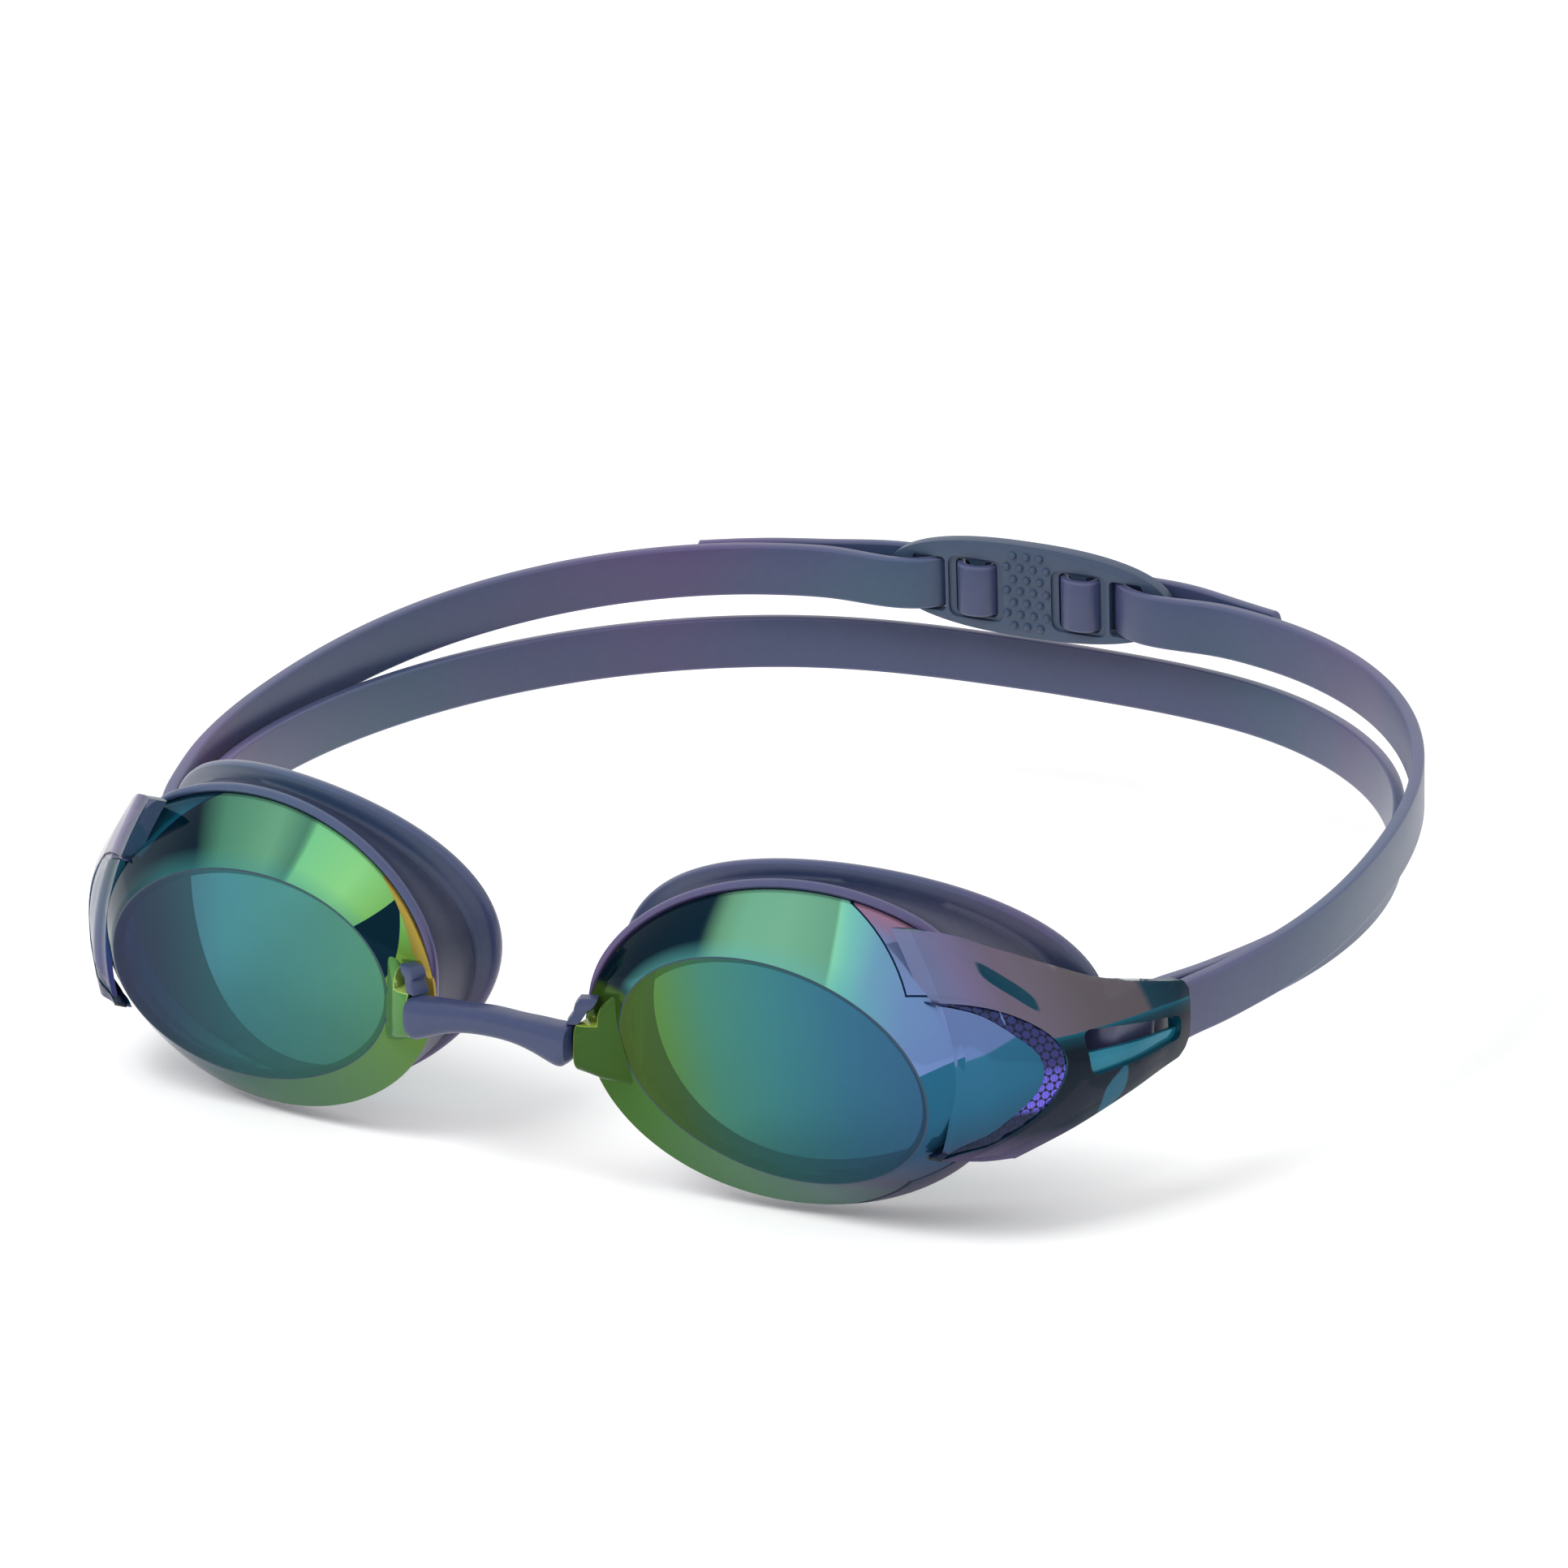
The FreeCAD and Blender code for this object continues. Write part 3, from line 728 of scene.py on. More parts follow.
# wall and inner colours are by degrees round the lens, window and front ones by share; the wall's plates are
# (start, end, depth, line width, colours by rise), its lower patches (first, last, colour) and its sails
# (first, last, lean, colour). These colours are painted reflections, which is why the two sides differ: the
# strip is a band of painted reflection along the top of the window, the plates' line is a crease of painted
# shade, the inner colours are painted reflection and shade on the inside, and skin is the wing shell's front
# colour.
LENS_LOOK = dict(
    left=dict(
        window=[(0, "#608228"), (0.16, "#527e40"), (0.32, "#407c6c"), (0.5, "#36767a"), (0.75, "#2e647e"),
                (1, "#2c567a")],
        wall=[(0, "#225a76"), (10, "#225a76"), (11, "#6278ac"), (45, "#6280ac"), (60, "#6290aa"),
              (69, "#68aea6"), (73.7, "#78c09e"), (74, "#5e947a"), (92, "#68a084"),
              (108, "#649e82"), (116, "#5c8e70"), (124, "#051e2c"), (163, "#021622"), (166, "#344e1c"),
              (190, "#3c5e20"), (225, "#446a36"), (262, "#54745c"), (288, "#566c6a"), (312, "#46485c"),
              (338, "#264a66"), (360, "#225a76")],
        lean=(-6, 14),
        strip="#56a09e",
        inner=[(0, "#6e8cb4"), (90, "#6e968c"), (150, "#ced63c"), (215, "#dcd828"), (262, "#96aa50"),
               (305, "#647082"), (360, "#6e8cb4")],
        lower=[(24, 12, "#225a76")],
        sails=[],
        plates=[(22, 76, 0.63, 0.013,
                 [(0.40, "#667eac"), (0.74, "#6a789e"), (0.88, "#7e6886"), (1, "#8e6a80")]),
                (286, 342, 0.50, 0.032, [(0.50, "#2a3a4e"), (0.80, "#4e4e60"), (1, "#605a6c")])],
        front=[(0.05, "#42405c"), (0.16, "#2c546e"), (0.28, "#2a6280"), (0.452, "#2e6888"),
               (0.458, "#607aac"), (0.9, "#6876a8")],
        skin="#6c769a"),
    right=dict(
        window=[(0, "#4e886c"), (0.3, "#46847e"), (0.55, "#407e86"), (0.8, "#3e5870"), (1, "#3e426a")],
        wall=[(0, "#062c3c"), (40, "#042432"), (80, "#021826"), (90, "#427660"), (108, "#5c9274"),
              (118, "#3e6e5c"), (118.4, "#6ab480"), (138, "#7cbe7a"), (150, "#70ac60"),
              (160, "#609646"), (167, "#5c8234"), (195, "#5c803a"), (225, "#56784c"),
              (270, "#506e5c"), (310, "#364c60"), (340, "#323a64"), (360, "#062c3c")],
        lean=(11, 8),
        strip="#3c8282",
        inner=[(0, "#6468aa"), (60, "#6472a0"), (150, "#8cbe78"), (215, "#8cba60"), (270, "#78a66e"),
               (320, "#6468aa"), (360, "#6468aa")],
        lower=[],
        sails=[(152, 181, 7, "#04202e")],
        plates=[(22, 76, 0.63, 0.013, [(0.40, "#062a3a"), (0.70, "#0e5468"), (1, "#062c3e")]),
                (136, 196, 0.30, 0, [(0.7, "#787032"), (1, "#aa9242")]),
                (286, 342, 0.50, 0.02, [(0.50, "#182a42"), (0.80, "#383650"), (1, "#4c4662")])],
        front=[(0.05, "#3c3a5c"), (0.20, "#2c3468"), (0.40, "#1e3c60"), (0.60, "#08384a"), (1, "#062c3c")],
        skin="#18384e"),
)


def lens_rings():
    """Rings of the closed lens shell, from the window over the rim and back inside, with slot and rise."""
    front, rim = oval(WINDOW), topped(0.8, 0)
    rows = []
    for s in (0.004, 0.2, 0.4, 0.6, 0.75, 0.88, 0.96, 0.994):
        rows.append((oval(WINDOW, scale=s, dome=DOME * (1 - s * s)), 0, 0))
    rows[-1] = (rows[-1][0], 1, 0)
    for t in (0.012, 0.12, 0.22, 0.32, 0.42, 0.52, 0.62, 0.72, 0.82, 0.92, 0.985):
        rows.append((between(front, rim, t, 0.45 * sin(pi * t)), 2, t))
    rows.append((topped(0.8, 0, 0.35), 3, 1))
    rows.append((topped(0.3, -0.5, 0.65), 3, 1))
    rows.append((oval(RIM, -SKIRT_STEP, 0.8), 3, 1))
    rows.append((oval(RIM, -SKIRT_STEP, SKIRT_LONG), 3, 1))
    rows.append((oval(RIM, -SKIRT_STEP - WALL, SKIRT_LONG), 3, 1))
    inner_rim = oval(RIM, -SKIRT_STEP - WALL, 0.6)
    inner_front = oval(WINDOW, -WINDOW_INSET, WINDOW_THICK)
    for t in (0, 0.2, 0.4, 0.6, 0.8, 0.97):
        rows.append((between(inner_rim, inner_front, t), 3, 1 - t))
    for s in (0.97, 0.8, 0.5, 0.2, 0.004):
        rows.append((oval(WINDOW, -WINDOW_INSET, WINDOW_THICK, s, DOME * (1 - s * s)), 4, 0))
    return rows


def build_lens(side):
    """Lens cup of one side."""
    look = LENS_LOOK[side]
    rows = lens_rings()
    slots = [row[1] for row in rows]
    faces, used = ring_faces(RING, len(rows), slots, caps=(0, 4))
    materials = [
        lens_window(side + "_lens_window_painted_reflection", look["window"], 0.34),
        tinted(side + "_lens_edge", "#28545c", "#484258", 0.9, 0.5, 0.1),
        lens_wall(side + "_lens_wall_painted_reflection", look, 0.93),
        lens_inner(side + "_lens_inner_painted_shade_and_reflection", look["inner"], 0.8),
        tinted(side + "_lens_back", "#ebf5f5", "#e1f0f0", 0.05, 0),
    ]
    points = all_points([row[0] for row in rows])
    piece = make(side + "_lens_cup", points, faces, used, materials, side == "right")
    wrap_uv(piece, RING, [row[2] for row in rows])
    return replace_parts(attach(piece, "eyecups"), side + "_lens")


# bracket colours by side as (body, cut faces): the right bracket is lighter and the left darker as painted
# light and shade, and the lighter cut faces and rounded edges are a painted highlight
BRACKET_LOOK = dict(
    left=(("#426420", "#34542c"), ("#aaba4c", "#789232")),
    right=(("#609654", "#46763c"), ("#c4dc82", "#8cb054")),
)


def build_bracket(side):
    """Wedge between the lens and the bridge, with a notch for the bridge's tab, open to the front and top."""
    mirror = side == "right"
    rings = []
    for x, front, back, low, high in BRACKET_SIZES:
        corners = [(front, low), (back, low), (back, high), (front, high)]
        outline = rounded_outline(corners, 0.46 * (back - front), 6)
        rings.append([Vector((x, y, z)) for y, z in outline])
    piece = solid_rings(side + "_nose_bracket", rings, mirror, 0)
    body, cut_face_highlight = BRACKET_LOOK[side]
    # the body differs by side as painted light and shade; the cut faces are lighter as a painted highlight
    clear = tinted(side + "_bracket_clear_painted_shade_and_highlight", *body, 0.80, 0.4, 0.1)
    wear(piece, clear, tinted(side + "_bracket_cut_painted_highlight", *cut_face_highlight, 0.85, 0.4, 0.3))
    notch = prism("notch", rounded_outline(NOTCH_CORNERS, 0.5), NOTCH_FLOOR, 11, 2, mirror)
    soften(cut(piece, notch), 0.3, 3, 30, edge_slot=1)
    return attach(piece, "eyecups")


def seal_y(x):
    """Depth of the curved sheet that the seals follow."""
    b = x - SEAL_AT["x"]
    return SEAL_AT["y"] + SEAL_AT["slope"] * b + SEAL_AT["bow"] * b * b


def meet_seal(start, end, offset):
    """Where the line from start to end crosses the seal's sheet moved back by offset."""
    low, high = 0, 1
    for _ in range(24):
        t = (low + high) / 2
        p = start.lerp(end, t)
        if p.y < seal_y(p.x) + offset:
            low = t
        else:
            high = t
    return start.lerp(end, low)


def flange_ring(grow, offset):
    """Ring of the flange's outline on the curved sheet."""
    return [Vector((p.x, seal_y(p.x) + offset, p.z)) for p in oval(FLANGE, grow)]


def gasket_rings():
    """Rings of the gasket: lip, groove, wrapped flange and opening, with the material of each strip."""
    deep = oval(RIM, 0.1, 2.6)
    back = oval(NECK_BACK, -0.4)
    neck = [meet_seal(p, q, -1.2) for p, q in zip(deep, back)]
    hole_front, hole_back = oval(RIM, -2.6, -0.5), oval(NECK_BACK, -3.6)
    hole = [meet_seal(p, q, 1.2) for p, q in zip(hole_front, hole_back)]
    rows = [(oval(RIM, -0.75, 0.9), 2)]
    rows += [(topped(low, high, back), slot) for low, high, back, slot in LIP_STEPS]
    rows += [(deep, 1)] + [(between(deep, neck, t), 1) for t in (0.35, 0.7, 0.92)]
    rows.append((between(neck, flange_ring(-0.9, -1.2), 0.12), 0))
    rows.append((between(neck, flange_ring(-0.9, -1.25), 0.5), 0))
    rows += [(flange_ring(grow, offset), slot) for grow, offset, slot in FLANGE_STEPS]
    rows += [(between(hole, flange_ring(-1.1, 1.25), t), 0) for t in (0.5, 0.1)]
    rows += [(hole, 1), (between(hole, hole_front, 0.5), 1)]
    rows += [(oval(RIM, -2.55, 3.9), 1), (oval(RIM, -0.75, 3.7), 1)]
    return rows


def build_gasket(side):
    """Soft ring between the lens and the face."""
    rows = gasket_rings()
    faces, used = ring_faces(RING, len(rows), [row[1] for row in rows], closed=True)
    # slot 1 is the darker copy, painted shade in the groove, neck and opening
    # slot 2 is the lighter copy, a painted highlight on the lip and the flange's ridge
    materials = [GASKET, GASKET_RECESS_SHADE, GASKET_RIDGE_HIGHLIGHT]
    points = all_points([row[0] for row in rows])
    piece = make(side + "_gasket_ring", points, faces, used, materials, side == "right", 60)
    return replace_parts(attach(piece, "eyecups"), side + "_gasket")


def wing_outline(y):
    """Bottom, middle and top of the wing's outside at a distance back, and how steeply it runs."""
    rows = [(back, *low, *middle, *high) for back, low, middle, high in WING_STATIONS]
    at = [r[0] for r in rows]
    k = min(max(sum(a <= y for a in at) - 1, 0), len(rows) - 2)
    t = (y - at[k]) / (at[k + 1] - at[k])
    row = []
    for c in range(1, 7):
        before = rows[max(k - 1, 0)][c]
        after = rows[min(k + 2, len(rows) - 1)][c]
        p, q = rows[k][c], rows[k + 1][c]
        m, n = (q - before) / 2, (after - p) / 2
        row.append((2 * t ** 3 - 3 * t * t + 1) * p + (t ** 3 - 2 * t * t + t) * m
                   + (3 * t * t - 2 * t ** 3) * q + (t ** 3 - t * t) * n)
    slope = (rows[k + 1][3] - rows[k][3]) / (at[k + 1] - at[k])
    return row, sqrt(1 + slope * slope)


def wing_arc(y, skin, count):
    """Points across the wing from bottom to top, skin deep under its outside."""
    (x1, z1, x2, z2, x3, z3), lean = wing_outline(y)
    points = []
    for i in range(count):
        t = i / (count - 1)
        low, mid, high = 2 * (t - 0.5) * (t - 1), 4 * t * (1 - t), 2 * t * (t - 0.5)
        x = low * x1 + mid * x2 + high * x3 - skin * lean
        points.append(Vector((x, y, low * z1 + mid * z2 + high * z3)))
    return points


def layer_rings(skin, wall, first, last, steps, count):
    """Closed outlines of a layer of the wing, one for each step back."""
    rings = []
    for i in range(steps):
        y = first + (last - first) * i / (steps - 1)
        rings.append(wing_arc(y, skin, count) + list(reversed(wing_arc(y, skin + wall, count))))
    return rings


def layer_solid(name, skin, wall, span, steps, count, mirror):
    """Solid of a layer of the wing, skin deep under its outside and wall thick."""
    return solid_rings(name, layer_rings(skin, wall, *span, steps, count), mirror, 0)


def cup_cutters(mirror):
    """Volumes of the lens and of the gasket's lip and neck, which the wing stops at."""
    bulge = between(oval(WINDOW), oval(RIM), 0.5, 0.6)
    lens = solid_rings("lens_volume", [oval(WINDOW, 0.3), bulge, oval(RIM, 0.05)], mirror)
    lip_front, lip_back = topped(0.6, 1.35), topped(0.6, 1.35, 2.3)
    lip = solid_rings("lip_volume", [lip_front, lip_back, oval(NECK_BACK, -0.1)], mirror)
    return lens, lip


def keep_within(piece, region):
    """Keep only what lies inside the region's solid."""
    modifier = piece.modifiers.new("keep", "BOOLEAN")
    modifier.operation = "INTERSECT"
    modifier.solver = "EXACT"
    modifier.object = region
    apply_modifiers(piece)
    bpy.data.objects.remove(region, do_unlink=True)
    return piece


def through_wing(name, outline, mirror, slot=1):
    """Prism of a (y, z) outline that runs right through the wing from the side."""
    return prism(name, outline, *WING_REACH, 0, mirror, slot)


def crescent_edge(points, shift=0):
    """Smooth edge (y, z) of the patterned crescent, moved back by shift."""
    return [(y + shift, z) for y, z, _ in spline([(y, z, 0) for y, z in points], 41)]


def build_wing(side, skin_material, edge_material, clear_material):
    """Smoky shell with its slot, and the clear plate inside the patterned crescent."""
    mirror = side == "right"
    count = 22
    pieces = []
    for name, material in (("_temple_wing_shell", skin_material), ("_wing_front_plate", clear_material)):
        wall = WALL if material is skin_material else FRONT_WALL
        piece = layer_solid(side + name, 0, wall, WING_SPAN, 40, count, mirror)
        wear(piece, material, edge_material)
        for i, face in enumerate(piece.data.polygons):
            face.material_index = 1 if i % (2 * count) in (count - 1, 2 * count - 1) else 0
        if material is skin_material:
            outlines = [rounded_outline(SLOT_CORNERS, 1.2)] + WING_TRIMS + [crescent_edge(TRIM_REAR, 0.05)]
            cut(piece, *[through_wing("opening", outline, mirror) for outline in outlines])
        else:
            keep_within(piece, through_wing("inside", crescent_edge(TRIM_FRONT, -0.05), mirror, 0))
        cut(piece, *cup_cutters(mirror))
        soften(piece, 0.2, 3, 40)
        pieces.append(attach(piece, "eyecups"))
    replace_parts(pieces[0], side + "_temple_wing")


def build_slot_glass(side, material):
    """Clear teal strip that closes the lower half of the wing's slot."""
    mirror = side == "right"
    piece = layer_solid(side + "_slot_strip", 0.8, 0.7, (-1.6, 17), 24, 22, mirror)
    wear(piece, material)
    keep_within(piece, through_wing("strip", rounded_outline(STRIP_CORNERS, 0.4), mirror, 0))
    soften(piece, 0.15, 2, 40)
    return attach(piece, "eyecups")


def build_post(side, material):
    """Upright post in the wing that the strap goes round, with a flared foot and head."""
    top = BAND_TALL / 2 + 1.6
    half = [(top, 0.5), (top, POST_HEAD_R), (top - 0.7, POST_HEAD_R), (top - 1.2, POST_R)]
    profile = [(PIVOT_Z - z, r) for z, r in half] + [(PIVOT_Z + z, r) for z, r in reversed(half)]
    turns = [2 * pi * i / 24 for i in range(24)]
    rings = [[Vector((POST[0] + r * cos(a), POST[1] + r * sin(a), z)) for a in turns] for z, r in profile]
    piece = tube(side + "_strap_post", rings, [material], side == "right")
    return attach(piece, "eyecups")


def build_trim(side, material):
    """Patterned crescent let into the wing."""
    mirror = side == "right"
    piece = layer_solid(side + "_trim_strip", 0.15, 1.2, (-16.6, -1), 40, 30, mirror)
    wear(piece, material)
    outline = crescent_edge(TRIM_REAR) + list(reversed(crescent_edge(TRIM_FRONT)))
    keep_within(piece, through_wing("crescent", outline, mirror, 0))
    cut(piece, *cup_cutters(mirror))
    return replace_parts(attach(piece, "eyecups"), side + "_pattern_trim")


# ---- nose bridge ----
def build_bridge():
    """Arched bar with a hooked tab at each end."""
    rows = [(-x, *rest) for x, *rest in reversed(BRIDGE_HALF[1:])] + BRIDGE_HALF
    rows = spline(rows, 64)
    count = 32
    rings = []
    for x, low, high, front, back, round_by in rows:
        ring = []
        for i in range(count):
            a = 2 * pi * i / count
            power = 0.55 + 0.08 * round_by
            across = copysign(abs(cos(a)) ** power, cos(a))
            rise = copysign(abs(sin(a)) ** power, sin(a))
            y = (front + back) / 2 + across * (back - front) / 2
            ring.append(Vector((x, y, (low + high) / 2 + rise * (high - low) / 2)))
        rings.append(ring)
    bar = soften(tube("nose_bridge_bar", rings, [BRIDGE]), 0.5, 3, 50)
    piece = join([bar, build_tab(False), build_tab(True)])
    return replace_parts(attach(piece, "nose_bridge"), "nose_bridge")


def build_tab(mirror):
    """Neck and wider head of one tab, leaning outwards, back and up."""
    rings = []
    for t, wide, deep in TAB_STEPS:
        at = Vector(TAB_START).lerp(Vector(TAB_END), t)
        across = Vector((wide * 0.8, wide * 0.35, 0))
        through = Vector((-deep * 0.35, deep * 0.8, 0))
        near, far = at - through, at + through
        rings.append([near - across, near + across, far + across, far - across])
    return soften(face_outwards(tube("tab", rings, [BRIDGE], mirror)), 0.25, 3, 30)


# ---- strap ----
def section(thick, tall):
    """Outline of the strap's cross-section as (side, rise) pairs, with rounded edges."""
    outline = []
    radius = min(CORNER, thick / 2 - 0.05, tall / 2 - 0.02)
    for sx, sz, first in ((1, -1, -90), (1, 1, 0), (-1, 1, 90), (-1, -1, 180)):
        for k in range(4):
            a = radians(first + 30 * k)
            side = sx * (thick / 2 - radius) + radius * cos(a)
            outline.append((side, sz * (tall / 2 - radius) + radius * sin(a)))
    return outline


def sweep(name, path, angle, mirror=False):
    """Strap along rows of x, y, z, thickness and height, then turned up at the hinge line by angle."""
    path = np.array(path)
    way = np.gradient(path[:, :2], axis=0)
    way /= np.linalg.norm(way, axis=1)[:, None]
    rings = []
    for (x, y, z, thick, tall), (wx, wy) in zip(path, way):
        rings.append([Vector((x + wy * s, y - wx * s, z + r)) for s, r in section(thick, tall)])
    for end, step in ((0, 1), (-1, -1)):
        x, y, z, thick, tall = path[end]
        wx, wy = way[end] * -step * 0.22
        nx, ny = way[end]
        outline = section(thick - END_ROUND, tall - END_ROUND)
        cap = [Vector((x + wx + ny * s, y + wy - nx * s, z + r)) for s, r in outline]
        rings.insert(0 if end == 0 else len(rings), cap)
    count = 16
    faces, used = ring_faces(count, len(rings), [0] * len(rings), caps=(1, 1))
    # the two broad faces keep the strap silicone; the narrow faces, rounded edges and end caps get the
    # lighter copy as a painted highlight
    for f in range(len(faces) - 2):
        used[f] = 0 if f % count in (3, 11) else 1
    points = hinge_tilt(all_points(rings), angle)
    return make(name, points, faces, used, [STRAP, STRAP_EDGE_HIGHLIGHT], mirror, 50)


def tangent_point(x, turn):
    """Where a line from (x, PIVOT_Y) touches the circle of the turn; turn is +1 or -1 for its side."""
    away = hypot(x - POST[0], PIVOT_Y - POST[1])
    angle = atan2(PIVOT_Y - POST[1], x - POST[0]) + turn * acos(TURN_R / away)
    return POST[0] + TURN_R * cos(angle), POST[1] + TURN_R * sin(angle), angle


def leg_middle(plan):
    """Middle of a band's thickness where it meets the hinge line."""
    return plan[0][0] + BAND_THICK / 2


def leg_row(x, y, middle, t):
    """Row of the strap's path, t of the way from where it leaves the turn to the hinge line."""
    thick = LOOP_THICK + (BAND_THICK - LOOP_THICK) * t
    return (x + (middle - x) * t, y + (PIVOT_Y - y) * t, PIVOT_Z, thick, BAND_TALL)


def build_loop(side):
    """The strap's turn round the post, with the start of both legs."""
    lower, upper = leg_middle(LOWER_PLAN), leg_middle(UPPER_PLAN)
    x1, y1, a1 = tangent_point(lower, 1)
    x2, y2, a2 = tangent_point(upper, -1)
    a1, a2 = a1 % (2 * pi), a2 % (2 * pi)
    if a2 < a1:
        a2 += 2 * pi
    legs, steps = 10, 28
    share = (TURN_END - y1) / (PIVOT_Y - y1)
    path = [leg_row(x1, y1, lower, share * (1 - i / legs)) for i in range(legs)]
    for i in range(steps + 1):
        a = a1 + (a2 - a1) * i / steps
        path.append((POST[0] + TURN_R * cos(a), POST[1] + TURN_R * sin(a), PIVOT_Z, LOOP_THICK, BAND_TALL))
    share = (TURN_END - y2) / (PIVOT_Y - y2)
    path += [leg_row(x2, y2, upper, share * (i + 1) / legs) for i in range(legs)]
    piece = sweep(side + "_strap_turn", path, 0, side == "right")
    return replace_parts(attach(piece, "eyecups"), side + "_strap_loop")


def leg_start(plan, turn):
    """First rows of a band's path inside the wing, in line with the leg of the turn."""
    middle = leg_middle(plan)
    x, y, _ = tangent_point(middle, turn)
    return [leg_row(x, y, middle, (level - y) / (PIVOT_Y - y)) for level in (TURN_END, TURN_END + 2.8)]


def build_lower_band():
    """The strap's lower run, unbroken from one wing to the other."""
    half = offset_plan(LOWER_PLAN, BAND_THICK / 2, 26)
    rows = leg_start(LOWER_PLAN, 1) + [(x, y, PIVOT_Z, BAND_THICK, BAND_TALL) for x, y in half]
    other = [(-x, y, z, a, b) for x, y, z, a, b in reversed(rows[:-1])]
    piece = sweep("lower_strap_band", spline(rows + other, 420), LOWER_TILT)
    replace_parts(piece, "lower_band")
    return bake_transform(piece)


def build_upper_band(side):
    """The upper run: from the wing to the clip, then in and out of its slots."""
    head = CLIP_FRONT - 0.15
    tail = CLIP_FRONT + CLIP_THICK + 0.15
    half = offset_plan(UPPER_PLAN, BAND_THICK / 2, 22)
    rows = leg_start(UPPER_PLAN, -1) + [(x, y, PIVOT_Z, BAND_THICK, BAND_TALL) for x, y in half[:-1]]
    weave = [
        (17.6, head - 0.9), (15.6, head + 0.3), (14.4, head + 1.5), (12.6, tail + 0.65), (11.2, head + 1.6),
        (10.2, head - 0.2), (8.3, head - 0.65), (6.6, head - 0.1), (5.7, head + 1.4), (5.6, tail + 0.8),
        (6.4, tail + 2.1), (8.2, tail + 2.6),
    ]
    rows += [(x, y, PIVOT_Z, WEAVE_THICK, BAND_TALL) for x, y in weave]
    piece = sweep(side + "_upper_strap_band", spline(rows, 520), UPPER_TILT, side == "right")
    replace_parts(piece, side + "_upper_band")
    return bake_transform(piece)


def build_tail(side):
    """The strap's free end, lying back along the outside of the upper run, with a rounded tip."""
    level = CLIP_FRONT + CLIP_THICK + 2.75
    end = TAIL_ENDS[side]
    route = [(8, level), (12, level), (16, level)] + [(x, y) for x, y in TAIL_PLAN if x <= end]
    line = spline([(x, y, PIVOT_Z, TAIL_THICK, TAIL_TALL) for x, y in route], 90)
    for row in line:
        left = end - row[0]
        if left < TAIL_TIP:
            row[4] = min(TAIL_TALL, 2 * sqrt(max(0.3, TAIL_TIP * TAIL_TIP - (TAIL_TIP - left) ** 2)))
    piece = sweep(side + "_strap_free_end", line, UPPER_TILT, side == "right")
    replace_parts(piece, side + "_strap_tail")
    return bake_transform(piece)


# ---- clip ----
def eye_outline(half_long, half_tall, middle, power=2.35, count=96):
    """Eye-shaped outline (x, z), a little fuller than an ellipse."""
    outline = []
    for i in range(count):
        a = 2 * pi * i / count
        x = copysign(abs(cos(a)) ** (2 / power), cos(a)) * half_long
        z = copysign(abs(sin(a)) ** (2 / power), sin(a)) * half_tall
        outline.append((x, middle + z))
    return outline


def upright_box(one, other, half_tall, radius):
    """Rounded (x, z) box between two sides, about the strap's own height."""
    low, high = sorted((one, other))
    floor_z, top = PIVOT_Z - half_tall, PIVOT_Z + half_tall
    return rounded_outline([(low, floor_z), (high, floor_z), (high, top), (low, top)], radius)


def build_clip():
    """Plate with three slots and a shallow pocket on each side, and a field of bumps facing the head."""
    middle = PIVOT_Z + CLIP_RISE
    outline = eye_outline(*CLIP_HALF, middle)
    piece = prism("back_clip_plate", outline, CLIP_FRONT, CLIP_FRONT + CLIP_THICK, 1, slot=0)
    wear(piece, CLIP)
    cutters = []
    for sign in (1, -1):
        for near, far in CLIP_SLOTS:
            outline = upright_box(sign * near, sign * far, SLOT_HALF, 0.7)
            cutters.append(prism("clip_slot", outline, CLIP_FRONT - 2, CLIP_FRONT + 5, 1, slot=0))
        outline = upright_box(sign * CLIP_POCKET[0], sign * CLIP_POCKET[1], SLOT_HALF + 0.5, 1.4)
        cutters.append(prism("clip_pocket", outline, CLIP_FRONT - 2, CLIP_FRONT + 0.5, 1, slot=0))
    cut(piece, *cutters)
    soften(piece, 0.3, 3, 40)
    parts = [piece]
    for row in range(7):
        count = 3 if row % 2 == 0 else 4
        for i in range(count):
            x = (i - (count - 1) / 2) * BUMP_PITCH[0]
            parts.append(bump_dome(x, middle + (3 - row) * BUMP_PITCH[1]))
    piece = join(parts)
    mesh = piece.data
    for v, p in zip(mesh.vertices, hinge_tilt([v.co / MM for v in mesh.vertices], UPPER_TILT)):
        v.co = p * MM
    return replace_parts(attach(piece, "upper_strap"), "back_clip")


def bump_dome(x, z):
    """Low round bump on the head side of the clip."""
    turns = [2 * pi * i / 14 for i in range(14)]
    rings = []
    for a in (100, 75, 50, 25, 4):
        r, y = BUMP_R * sin(radians(a)), CLIP_FRONT - BUMP_R * cos(radians(a))
        rings.append([(x + r * cos(t), y, z + r * sin(t)) for t in turns])
    return tube("bump", rings, [CLIP])


# ---- stage ----
def floor():
    """Plain pale floor under the object."""
    n = Nodes("floor_plain")
    n.set(Base_Color=(0.92, 0.92, 0.92, 1), Roughness=0.9)
    low = CAD_BOX[0].z / MM - 0.5
    size = 3000
    points = [(-size, -size, low), (size, -size, low), (size, size, low), (-size, size, low)]
    make("floor", points, [(0, 1, 2, 3)], [0], [n.material])


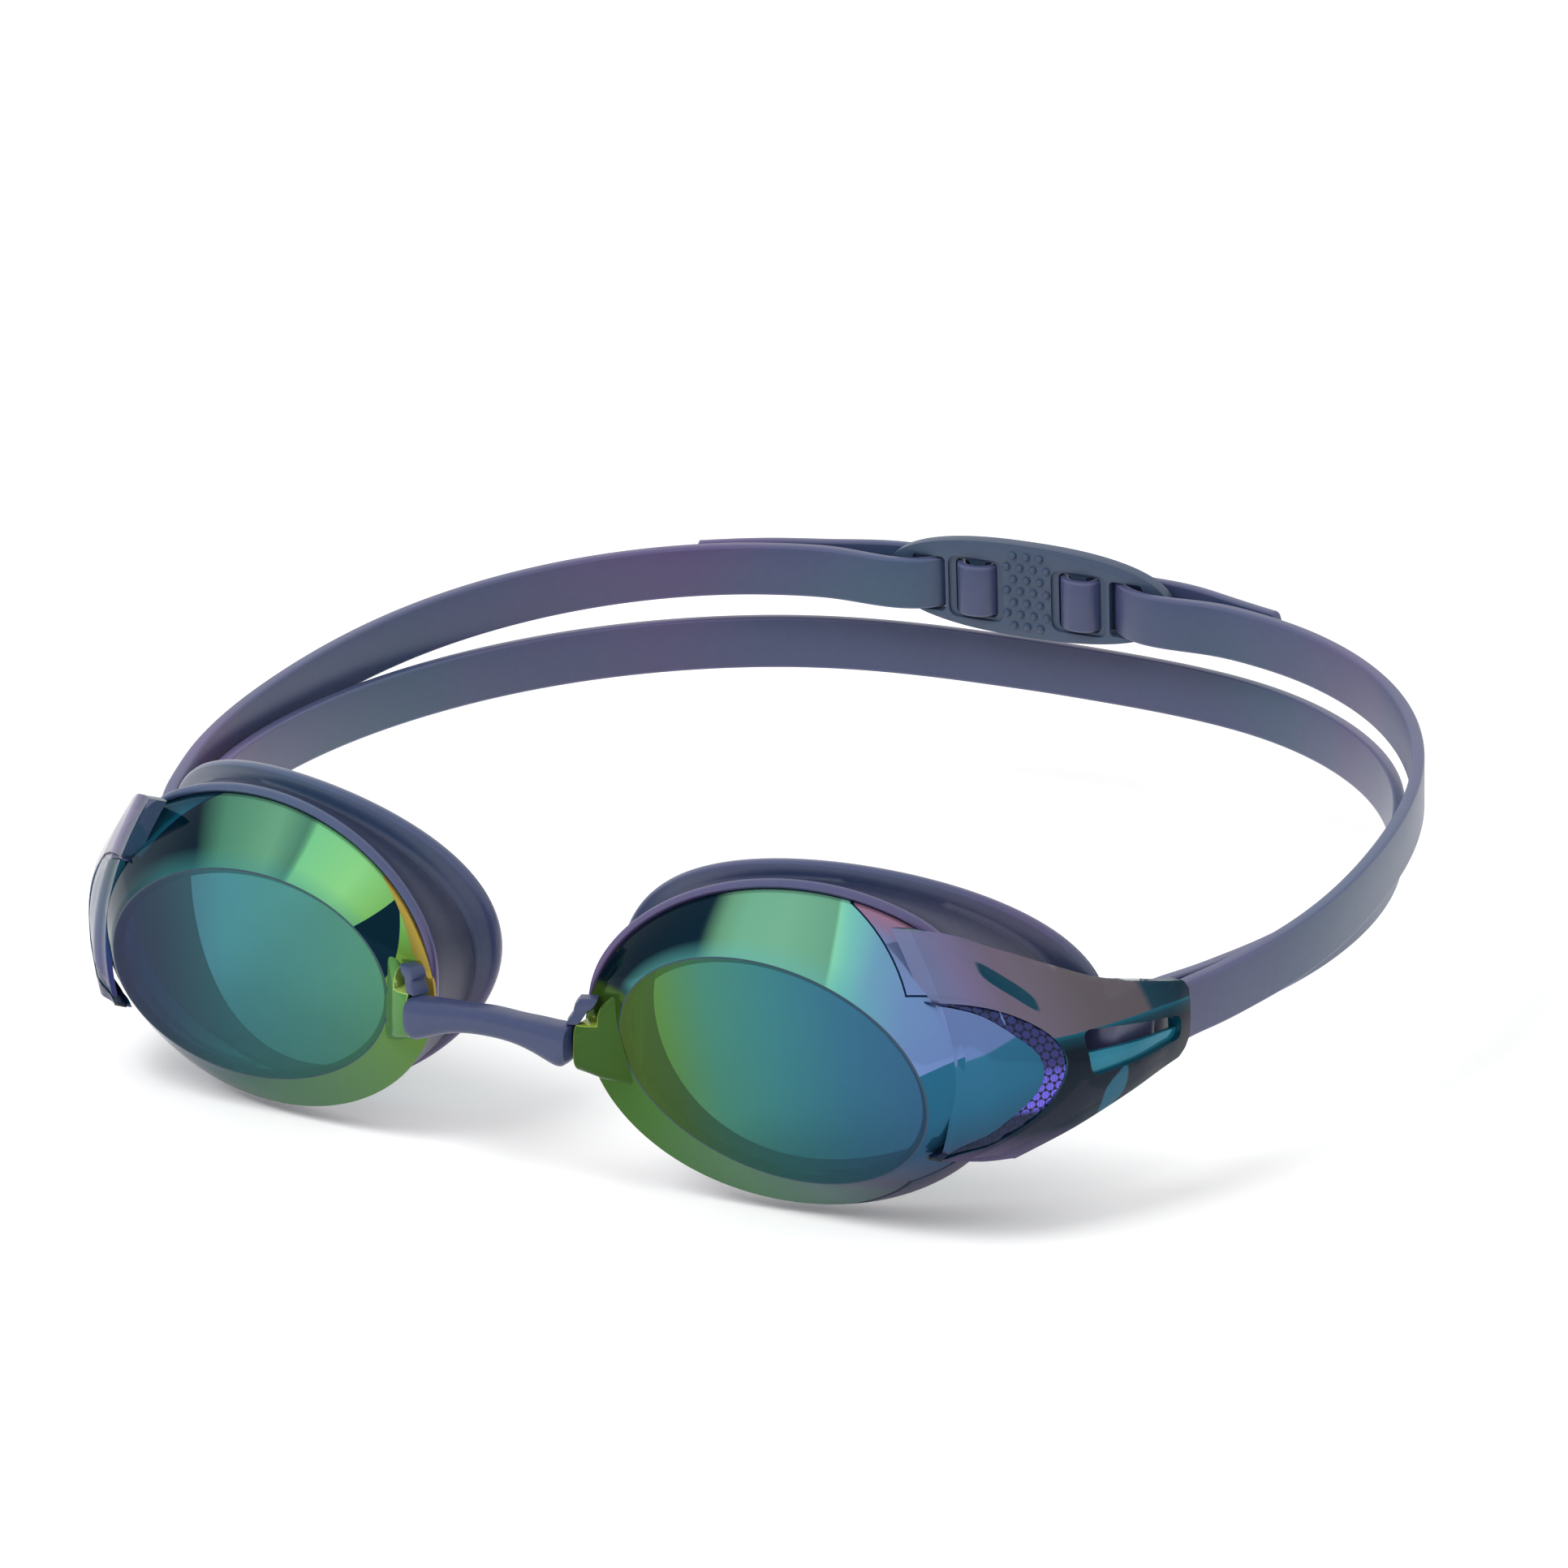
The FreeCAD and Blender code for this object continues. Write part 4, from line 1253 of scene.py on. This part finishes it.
def lights():
    """White surroundings and large soft lamps above."""
    world = bpy.data.worlds.new("studio")
    bpy.context.scene.world = world
    world.use_nodes = True
    backdrop = world.node_tree.nodes["Background"]
    backdrop.inputs["Color"].default_value = (1, 1, 1, 1)
    backdrop.inputs["Strength"].default_value = 1
    lamps = [("key", (-0.35, -0.55, 0.75), 0.5, 7), ("fill", (0.7, -0.3, 0.5), 0.6, 1.2)]
    for name, place, size, power in lamps:
        data = bpy.data.lights.new(name, "AREA")
        data.size = size
        data.energy = power
        lamp = bpy.data.objects.new(name, data)
        bpy.context.scene.collection.objects.link(lamp)
        lamp.location = place
        lamp.visible_glossy = False
        aim = Vector((0, 0.05, 0)) - Vector(place)
        lamp.rotation_euler = aim.to_track_quat("-Z", "Y").to_euler()


def camera():
    """Camera in front, above and to the wearer's left."""
    azimuth, elevation, roll = (radians(turn) for turn in CAMERA_TURN)
    ahead = Vector((-sin(azimuth) * cos(elevation), cos(azimuth) * cos(elevation), -sin(elevation)))
    right = Vector((cos(azimuth), sin(azimuth), 0))
    up = right.cross(ahead)
    x = right * cos(roll) + up * sin(roll)
    y = up * cos(roll) - right * sin(roll)
    data = bpy.data.cameras.new("camera")
    data.sensor_width = 36
    data.lens = CAMERA_LENS
    data.clip_start = 0.01
    holder = bpy.data.objects.new("camera", data)
    bpy.context.scene.collection.objects.link(holder)
    turn = Matrix((x, y, -ahead)).transposed().to_4x4()
    holder.matrix_world = Matrix.Translation(Vector(CAMERA_AT) * MM) @ turn
    bpy.context.scene.camera = holder


edge_material = tinted("wing_teal_edge", "#0e4e62", "#062c40", 0.8)
slot_material = tinted("slot_teal_clear", "#228098", "#12627a", 0.8)
trim_material = hexagon_pattern()
for side in ("left", "right"):
    build_lens(side)
    build_bracket(side)
    build_gasket(side)
    look = LENS_LOOK[side]
    clear_material = wing_front(side + "_wing_front_clear_painted_reflection", look["front"], 0.8)
    build_wing(side, wing_skin(side, look["skin"]), edge_material, clear_material)
    build_slot_glass(side, slot_material)
    build_post(side, edge_material)
    build_trim(side, trim_material)
    build_loop(side)
    build_upper_band(side)
    build_tail(side)
build_bridge()
build_lower_band()
build_clip()
floor()
lights()
camera()
bpy.context.scene.view_settings.view_transform = "Standard"
